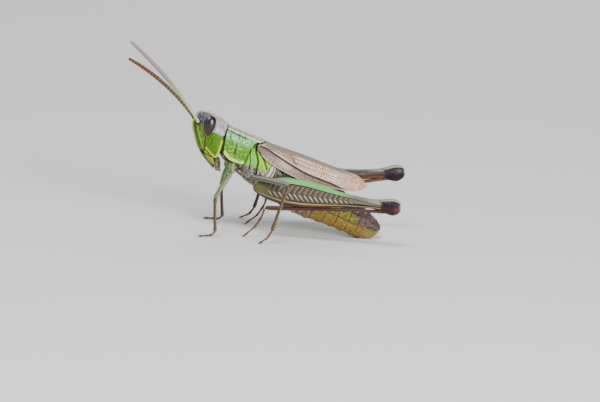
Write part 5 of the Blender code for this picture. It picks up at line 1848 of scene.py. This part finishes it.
def hind_thigh_finish(look):
    """The thigh's bands: green on top, ribs between black lines, ochre below, a black knee."""
    finish, blotch, fine, specks = horn("Hind thigh horn", 0.08, 0.28, 0.16, 0.05, (0.5, 1.0, 1.0))
    streak = finish.noise(0.1, 3.0, (0.18, 1.0, 1.0))
    w, place, outer, over, under = (
        finish[name] for name in ("w", "place", "outer", "over", "under")
    )
    knee = (place + w * w * 0.016 + blotch * 0.03).step(0.868, 0.9)
    lobe = w - place * 3.15 + 2.86
    above, below = over.step(-0.01, 0.03), under.step(0.02, -0.02)
    late = place.step(0.6, 0.74)
    inner = (1 - outer) * place.step(0.885, 0.865)
    line, cream, dim = look.line, look.outline, (0.045, 0.03, 0.018)
    speckle = streak * 0.6 + fine * 0.5
    base = finish.paint(
        look.ground,
        (streak.step(0.4, 0.6) * 0.6, dim),
        (place.step(0.2, 0.06) * 0.6, (0.12, 0.11, 0.03)),
        (finish["shade"] * 0.8, (0.022, 0.016, 0.01)),
        (w.step(-0.46, -0.54) * (1 - late) * 0.8, dim),
        (finish["upper_rib"] * (fine * 0.6 + streak * 0.6 + 0.1), (0.3, 0.27, 0.22)),
        (finish["lower_rib"] * 0.95, look.rib),
        (late * over.step(-0.1, -0.22) * w.step(-0.3, -0.16) * 0.75, (0.16, 0.145, 0.08)),
        (late * w.step(-0.26, -0.4) * under.step(0.06, 0.12), line),
        (above, (0.13, 0.128, 0.098)),
        (above * specks(0.5, 0.6, 0.5, 0.7) * 0.5, (0.09, 0.085, 0.07)),
        (above * w.step(0.8, 0.92) * 0.6, (0.27, 0.26, 0.21)),
        (above * place.step(0.7, 0.89) * 0.9, cream),
        (above * place.step(0.14, 0.22) * place.step(0.7, 0.58), look.green),
        (below, look.ochre),
        (below * speckle.step(0.48, 0.66) * 0.7, (0.07, 0.035, 0.014)),
        (below * w.step(-0.88, -0.95) * 0.9, line),
        (under.step(-0.09, -0.05) * under.step(-0.12, -0.18) * 0.5, line),
        (finish["keel_low"] * 0.85, (0.5, 0.44, 0.28)),
        (over.step(-0.075, -0.035) * over.step(0.02, -0.01), line),
        (inner, look.inner),
        (inner * speckle.step(0.46, 0.64) * 0.6, (0.05, 0.022, 0.018)),
        (inner * w.step(-0.26, -0.42), look.inner_low),
        (inner * w.step(0.44, 0.5), (0.05, 0.052, 0.042)),
        (inner * w.step(0.44, 0.5) * place.step(0.72, 0.9) * 0.9, cream),
        (inner * w.step(0.8, 0.95) * 0.6, (0.3, 0.28, 0.24)),
        (inner * w.step(0.5, 0.46) * w.step(0.32, 0.38), line),
        (knee, look.knee_low),
        (knee * specks(0.5, 0.6, 0.46, 0.64) * 0.6, (0.025, 0.011, 0.014)),
        (knee * outer * place.step(0.945, 0.965) * w.step(-0.75, -0.5) * w.step(0.02, -0.14)
         * blotch.step(0.25, 0.6) * 0.8, (0.15, 0.032, 0.024)),
        (knee * (1 - outer) * 0.95, (0.006, 0.003, 0.005)),
        (knee * lobe.step(-0.04, 0.04), look.knee),
        (knee * lobe.step(0.08, 0.2) * (fine * 0.5 + blotch * 0.6).step(0.5, 0.7) * 0.4,
         (0.06, 0.04, 0.07)),
        (knee * w.step(-0.84, -0.94) * 0.8, line),
        (knee * w.step(0.7, 0.78), cream),
        (knee * place.step(0.986, 0.992) * w.step(-0.25, -0.1), cream),
        (knee * w.step(0.9, 0.96) * 0.4, (0.2, 0.17, 0.12)),
    )
    return finish.finish(base, fine * 0.25 + 0.3, (fine, 0.008), (blotch, 0.01))


def hind_shin_finish(look, word, ground):
    """Brown shin with pale orange spine bases and dark spine tips."""
    finish, _, fine, specks = horn(f"Hind shin horn {word}", 0.1, 0.25, 0.14, 0.045)
    spine, along, lift = (finish[name] for name in ("spine", "along", "lift"))
    base = finish.paint(
        ground,
        (specks(0.6, 0.5, 0.46, 0.64) * 0.7, (0.035, 0.014, 0.01)),
        (along.step(0.1, 0.03) * 0.7, (0.03, 0.018, 0.02)),
        (lift.step(0.55, 0.85) * 0.6, (0.03, 0.016, 0.012)),
        (spine.step(0.5, 0.9) * 0.9, look.spine),
        (spine.step(1.5, 1.8) * 0.95, (0.015, 0.01, 0.01)),
    )
    return finish.finish(base, fine * 0.2 + 0.32, (fine, 0.007))


# --- Hairs ---

EVERYWHERE = ((-9, -9, -9), (20, 9, 9))
# Height over the floor at which hairs begin
HAIR_CLEARANCE = 0.25
BACK, DOWN = (0.8, 0.0, -0.3), (0.2, 0.0, -0.8)
# Coats: slot, and for each piece the skin whose grid it has, the number of hairs, their length
# beside the middling one, their lean, and the body-frame box they grow in
COATS = {
    "head": (("head_capsule", "head", 260, 0.6, DOWN, ((-2.6, -1.2, -2.6), (-0.4, 1.2, -0.9))),),
    "mouthparts": (("upper_lip_plate", "lip", 60, 0.7, DOWN, EVERYWHERE),
                   ("palps", "palp", 60, 0.5, DOWN, EVERYWHERE)),
    "trunk": (
        ("thorax_skin", "thorax", 700, 1.0, DOWN, ((-0.3, -1.5, -3.5), (5.2, 1.5, -2.0))),
        ("hind_left_hip", "hind_hip", 90, 0.8, DOWN, EVERYWHERE),
        ("hind_right_hip", "hind_hip", 90, 0.8, DOWN, EVERYWHERE),
    ),
    "abdomen": (
        ("abdomen_skin", "abdomen", 600, 0.7, BACK, ((5.0, -1.5, -4.0), (12.2, 1.5, -1.6))),
        ("tail_cone", "tail", 260, 0.8, BACK, ((11.9, -1.5, -4.0), (13.2, 1.5, 0.0))),
    ),
    "walking_legs": tuple(
        (f"{word}_{piece}", piece, number, 0.75, DOWN, EVERYWHERE)
        for word in SHORT_LEGS
        for piece, number in (("hip", 50), ("thigh", 110), ("shin", 130))
    ),
    "hind_femora": tuple(
        (f"hind_{word}_thigh", "hind_thigh", 240, 0.5, BACK, EVERYWHERE) for word in HIND_FEMORA
    ),
    "hind_shins": tuple(
        (f"hind_{word}_shin", "hind_shin", 260, 0.75, DOWN, EVERYWHERE) for word in HIND_FEMORA
    ),
}


def build_hairs(look):
    """Hairs on the pieces that bear them: roots are drawn from each finished skin's points."""
    finish = Finish("Hair")
    tone = finish["tone"]
    finish.finish(finish.mix(tone.step(0.3, 0.7), look.pale, look.dark), tone * 0.2 + 0.4)
    draw = np.random.default_rng(91)
    for slot, patches in COATS.items():
        coat = Shape(f"{slot}_hairs")
        for piece, skin, number, longer, lean, (low, high) in patches:
            rows, columns = GRIDS[skin]
            mesh = bpy.data.objects[piece].data
            points, normals = np.empty((2, len(mesh.vertices) * 3), np.float32)
            mesh.vertices.foreach_get("co", points)
            mesh.vertices.foreach_get("normal", normals)
            points = points.reshape(-1, 3)[:rows * columns] / MM - FLOOR_ZERO
            body = in_body(points)
            clear = points[:, 2] + FLOOR_ZERO[2] > HAIR_CLEARANCE
            inside = np.flatnonzero(((body > low) & (body < high)).all(axis=1) & clear)
            chosen = draw.choice(inside, number, replace=False)
            places = np.column_stack([chosen % columns / columns, chosen // columns / rows])
            coat.add_hairs(points[chosen], normals.reshape(-1, 3)[chosen].astype(float), places,
                           lean, look.reach / MM * longer, look.thickness / MM, draw)
        coat.make(finish.material, slot)


# --- Stage ---

VIEW_TURN = math.radians(-8)
VIEW_LIFT = math.radians(11)
VIEW_ROLL = math.radians(5)
VIEW_CENTRE = (5.491, 4.93)
VIEW_DISTANCE = 300.0
LENS = 257.1
FLOOR_SIZE = 3.0
# Soft lights: name, place and aim round the insect in millimetres, width and height, watts
LIGHTS = (
    ("top_light", (-60, -120, 230), (130, 100), 0.58),
    ("key_light", (124, -192, 60), (100, 100), 0.72),
    ("rim_light", (60, 190, 150), (160, 120), 0.2),
)


def view_axes():
    """Right, up and back directions of the camera, before its roll."""
    right = np.array((math.cos(VIEW_TURN), math.sin(VIEW_TURN), 0.0))
    forward = math.sin(VIEW_LIFT)
    up = np.array((-math.sin(VIEW_TURN) * forward, math.cos(VIEW_TURN) * forward,
                   math.cos(VIEW_LIFT)))
    return right, up, np.cross(right, up)


def place_camera():
    """The camera looks at the middle of the view from its back direction, rolled a little."""
    right, up, back = view_axes()
    centre = np.array((0.0, 0.0, BODY_HEIGHT)) + VIEW_CENTRE[0] * right - VIEW_CENTRE[1] * up
    rolled = math.cos(VIEW_ROLL) * right + math.sin(VIEW_ROLL) * up
    upright = math.cos(VIEW_ROLL) * up - math.sin(VIEW_ROLL) * right
    matrix = np.eye(4)
    matrix[:3, 0], matrix[:3, 1], matrix[:3, 2] = rolled, upright, back
    matrix[:3, 3] = (centre + VIEW_DISTANCE * back + FLOOR_ZERO) * MM
    camera = bpy.data.cameras.new("view_camera")
    camera.lens = LENS
    camera.clip_start = 0.01
    camera.dof.use_dof = False
    holder = put("view_camera", camera)
    holder.matrix_world = Matrix(matrix.tolist())
    bpy.context.scene.camera = holder


def place_lights():
    """Area lights that aim at the middle of the insect."""
    for name, place, (width, height), watts in LIGHTS:
        light = bpy.data.lights.new(name, "AREA")
        light.shape = "RECTANGLE"
        light.size, light.size_y = width * MM, height * MM
        light.energy = watts
        holder = put(name, light)
        place = Vector(place) * MM
        aim = Vector((0.0, 0.0, 5.0 * MM)) - place
        turn = aim.to_track_quat("-Z", "Y").to_matrix().to_4x4()
        holder.matrix_world = Matrix.Translation(place) @ turn


def build_stage(look):
    """A large pale floor, soft even surroundings, three soft lights and the camera."""
    half = FLOOR_SIZE / 2
    mesh = bpy.data.meshes.new("floor_plane")
    mesh.from_pydata([(-half, -half, 0), (half, -half, 0), (half, half, 0), (-half, half, 0)], [],
                     [(0, 1, 2, 3)])
    finish = Finish("Floor paper")
    grain = finish.noise(2.0)
    mesh.materials.append(finish.finish(
        finish.mix(grain * 0.08, look.floor, (0.6, 0.6, 0.58)), grain * 0.1 + 0.8, (grain, 0.01)
    ))
    put("floor_plane", mesh)
    world = bpy.context.scene.world or bpy.data.worlds.new("Soft surroundings")
    bpy.context.scene.world = world
    world.use_nodes = True
    background = world.node_tree.nodes["Background"]
    background.inputs["Color"].default_value = (0.94, 0.97, 1.0, 1.0)
    background.inputs["Strength"].default_value = look.brightness
    place_lights()
    place_camera()


# --- Operators, panel and registering ---


class GRASSHOPPER_OT_head(bpy.types.Operator):
    """Builds the head with its ridges, sockets and furrows"""
    bl_idname = "grasshopper.head"
    bl_label = "Head"

    def execute(self, context):
        build_head(context.scene.grasshopper_head)
        return {"FINISHED"}


class GRASSHOPPER_OT_eyes(bpy.types.Operator):
    """Builds both compound eyes"""
    bl_idname = "grasshopper.eyes"
    bl_label = "Eyes"

    def execute(self, context):
        build_eyes(context.scene.grasshopper_eyes)
        return {"FINISHED"}


class GRASSHOPPER_OT_antennae(bpy.types.Operator):
    """Builds both antennae with their rings"""
    bl_idname = "grasshopper.antennae"
    bl_label = "Antennae"

    def execute(self, context):
        build_antennae(context.scene.grasshopper_antennae)
        return {"FINISHED"}


class GRASSHOPPER_OT_mouthparts(bpy.types.Operator):
    """Builds the lips, jaws and palps"""
    bl_idname = "grasshopper.mouthparts"
    bl_label = "Mouthparts"

    def execute(self, context):
        build_mouthparts(context.scene.grasshopper_mouthparts)
        return {"FINISHED"}


class GRASSHOPPER_OT_thorax(bpy.types.Operator):
    """Builds the neck and thorax as one skin with seams"""
    bl_idname = "grasshopper.thorax"
    bl_label = "Thorax"

    def execute(self, context):
        build_thorax(context.scene.grasshopper_thorax)
        return {"FINISHED"}


class GRASSHOPPER_OT_back_shield(bpy.types.Operator):
    """Builds the back shield with its keels and furrows"""
    bl_idname = "grasshopper.back_shield"
    bl_label = "Back Shield"

    def execute(self, context):
        build_back_shield(context.scene.grasshopper_back_shield)
        return {"FINISHED"}


class GRASSHOPPER_OT_abdomen(bpy.types.Operator):
    """Builds the abdomen and the tail"""
    bl_idname = "grasshopper.abdomen"
    bl_label = "Abdomen"

    def execute(self, context):
        build_abdomen(context.scene.grasshopper_abdomen)
        return {"FINISHED"}


class GRASSHOPPER_OT_forewings(bpy.types.Operator):
    """Builds both forewings with their veins"""
    bl_idname = "grasshopper.forewings"
    bl_label = "Forewings"

    def execute(self, context):
        build_forewings(context.scene.grasshopper_forewings)
        return {"FINISHED"}


class GRASSHOPPER_OT_walking_legs(bpy.types.Operator):
    """Builds the front and middle legs"""
    bl_idname = "grasshopper.walking_legs"
    bl_label = "Walking Legs"

    def execute(self, context):
        build_walking_legs(context.scene.grasshopper_walking_legs)
        return {"FINISHED"}


class GRASSHOPPER_OT_jumping_legs(bpy.types.Operator):
    """Builds the hind legs"""
    bl_idname = "grasshopper.jumping_legs"
    bl_label = "Jumping Legs"

    def execute(self, context):
        build_jumping_legs(context.scene.grasshopper_jumping_legs)
        return {"FINISHED"}


class GRASSHOPPER_OT_hairs(bpy.types.Operator):
    """Sets hairs on the finished pieces"""
    bl_idname = "grasshopper.hairs"
    bl_label = "Hairs"

    def execute(self, context):
        build_hairs(context.scene.grasshopper_hairs)
        return {"FINISHED"}


class GRASSHOPPER_OT_stage(bpy.types.Operator):
    """Sets the floor, the lights and the camera"""
    bl_idname = "grasshopper.stage"
    bl_label = "Stage"

    def execute(self, context):
        build_stage(context.scene.grasshopper_stage)
        return {"FINISHED"}


# Each operator with the settings that it reads, in the order of making
MAKING = (
    (GRASSHOPPER_OT_head, HeadSettings),
    (GRASSHOPPER_OT_eyes, EyeSettings),
    (GRASSHOPPER_OT_antennae, AntennaSettings),
    (GRASSHOPPER_OT_mouthparts, MouthSettings),
    (GRASSHOPPER_OT_thorax, ThoraxSettings),
    (GRASSHOPPER_OT_back_shield, ShieldSettings),
    (GRASSHOPPER_OT_abdomen, AbdomenSettings),
    (GRASSHOPPER_OT_forewings, WingSettings),
    (GRASSHOPPER_OT_walking_legs, WalkingLegSettings),
    (GRASSHOPPER_OT_jumping_legs, JumpingLegSettings),
    (GRASSHOPPER_OT_hairs, HairSettings),
    (GRASSHOPPER_OT_stage, StageSettings),
)


def settings_name(operator):
    """The scene's name for an operator's settings."""
    return operator.bl_idname.replace(".", "_")


class GRASSHOPPER_PT_build(bpy.types.Panel):
    """Lists the pieces with their settings"""
    bl_idname = "GRASSHOPPER_PT_build"
    bl_label = "Meadow Grasshopper"
    bl_space_type = "VIEW_3D"
    bl_region_type = "UI"
    bl_category = "Grasshopper"

    def draw(self, context):
        for operator, _ in MAKING:
            box = self.layout.box()
            box.operator(operator.bl_idname)
            settings = getattr(context.scene, settings_name(operator))
            for name in settings.__annotations__:
                box.prop(settings, name)


def register():
    for operator, settings in MAKING:
        bpy.utils.register_class(settings)
        pointer = bpy.props.PointerProperty(type=settings)
        setattr(bpy.types.Scene, settings_name(operator), pointer)
        bpy.utils.register_class(operator)
    bpy.utils.register_class(GRASSHOPPER_PT_build)


def unregister():
    bpy.utils.unregister_class(GRASSHOPPER_PT_build)
    for operator, settings in reversed(MAKING):
        bpy.utils.unregister_class(operator)
        delattr(bpy.types.Scene, settings_name(operator))
        bpy.utils.unregister_class(settings)


def write_sizes():
    """Brings the view layer up to date."""
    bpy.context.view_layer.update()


def main():
    register()
    for operator, _ in MAKING:
        group, name = operator.bl_idname.split(".")
        getattr(getattr(bpy.ops, group), name)()
    write_sizes()


if __name__ == "__main__":
    main()
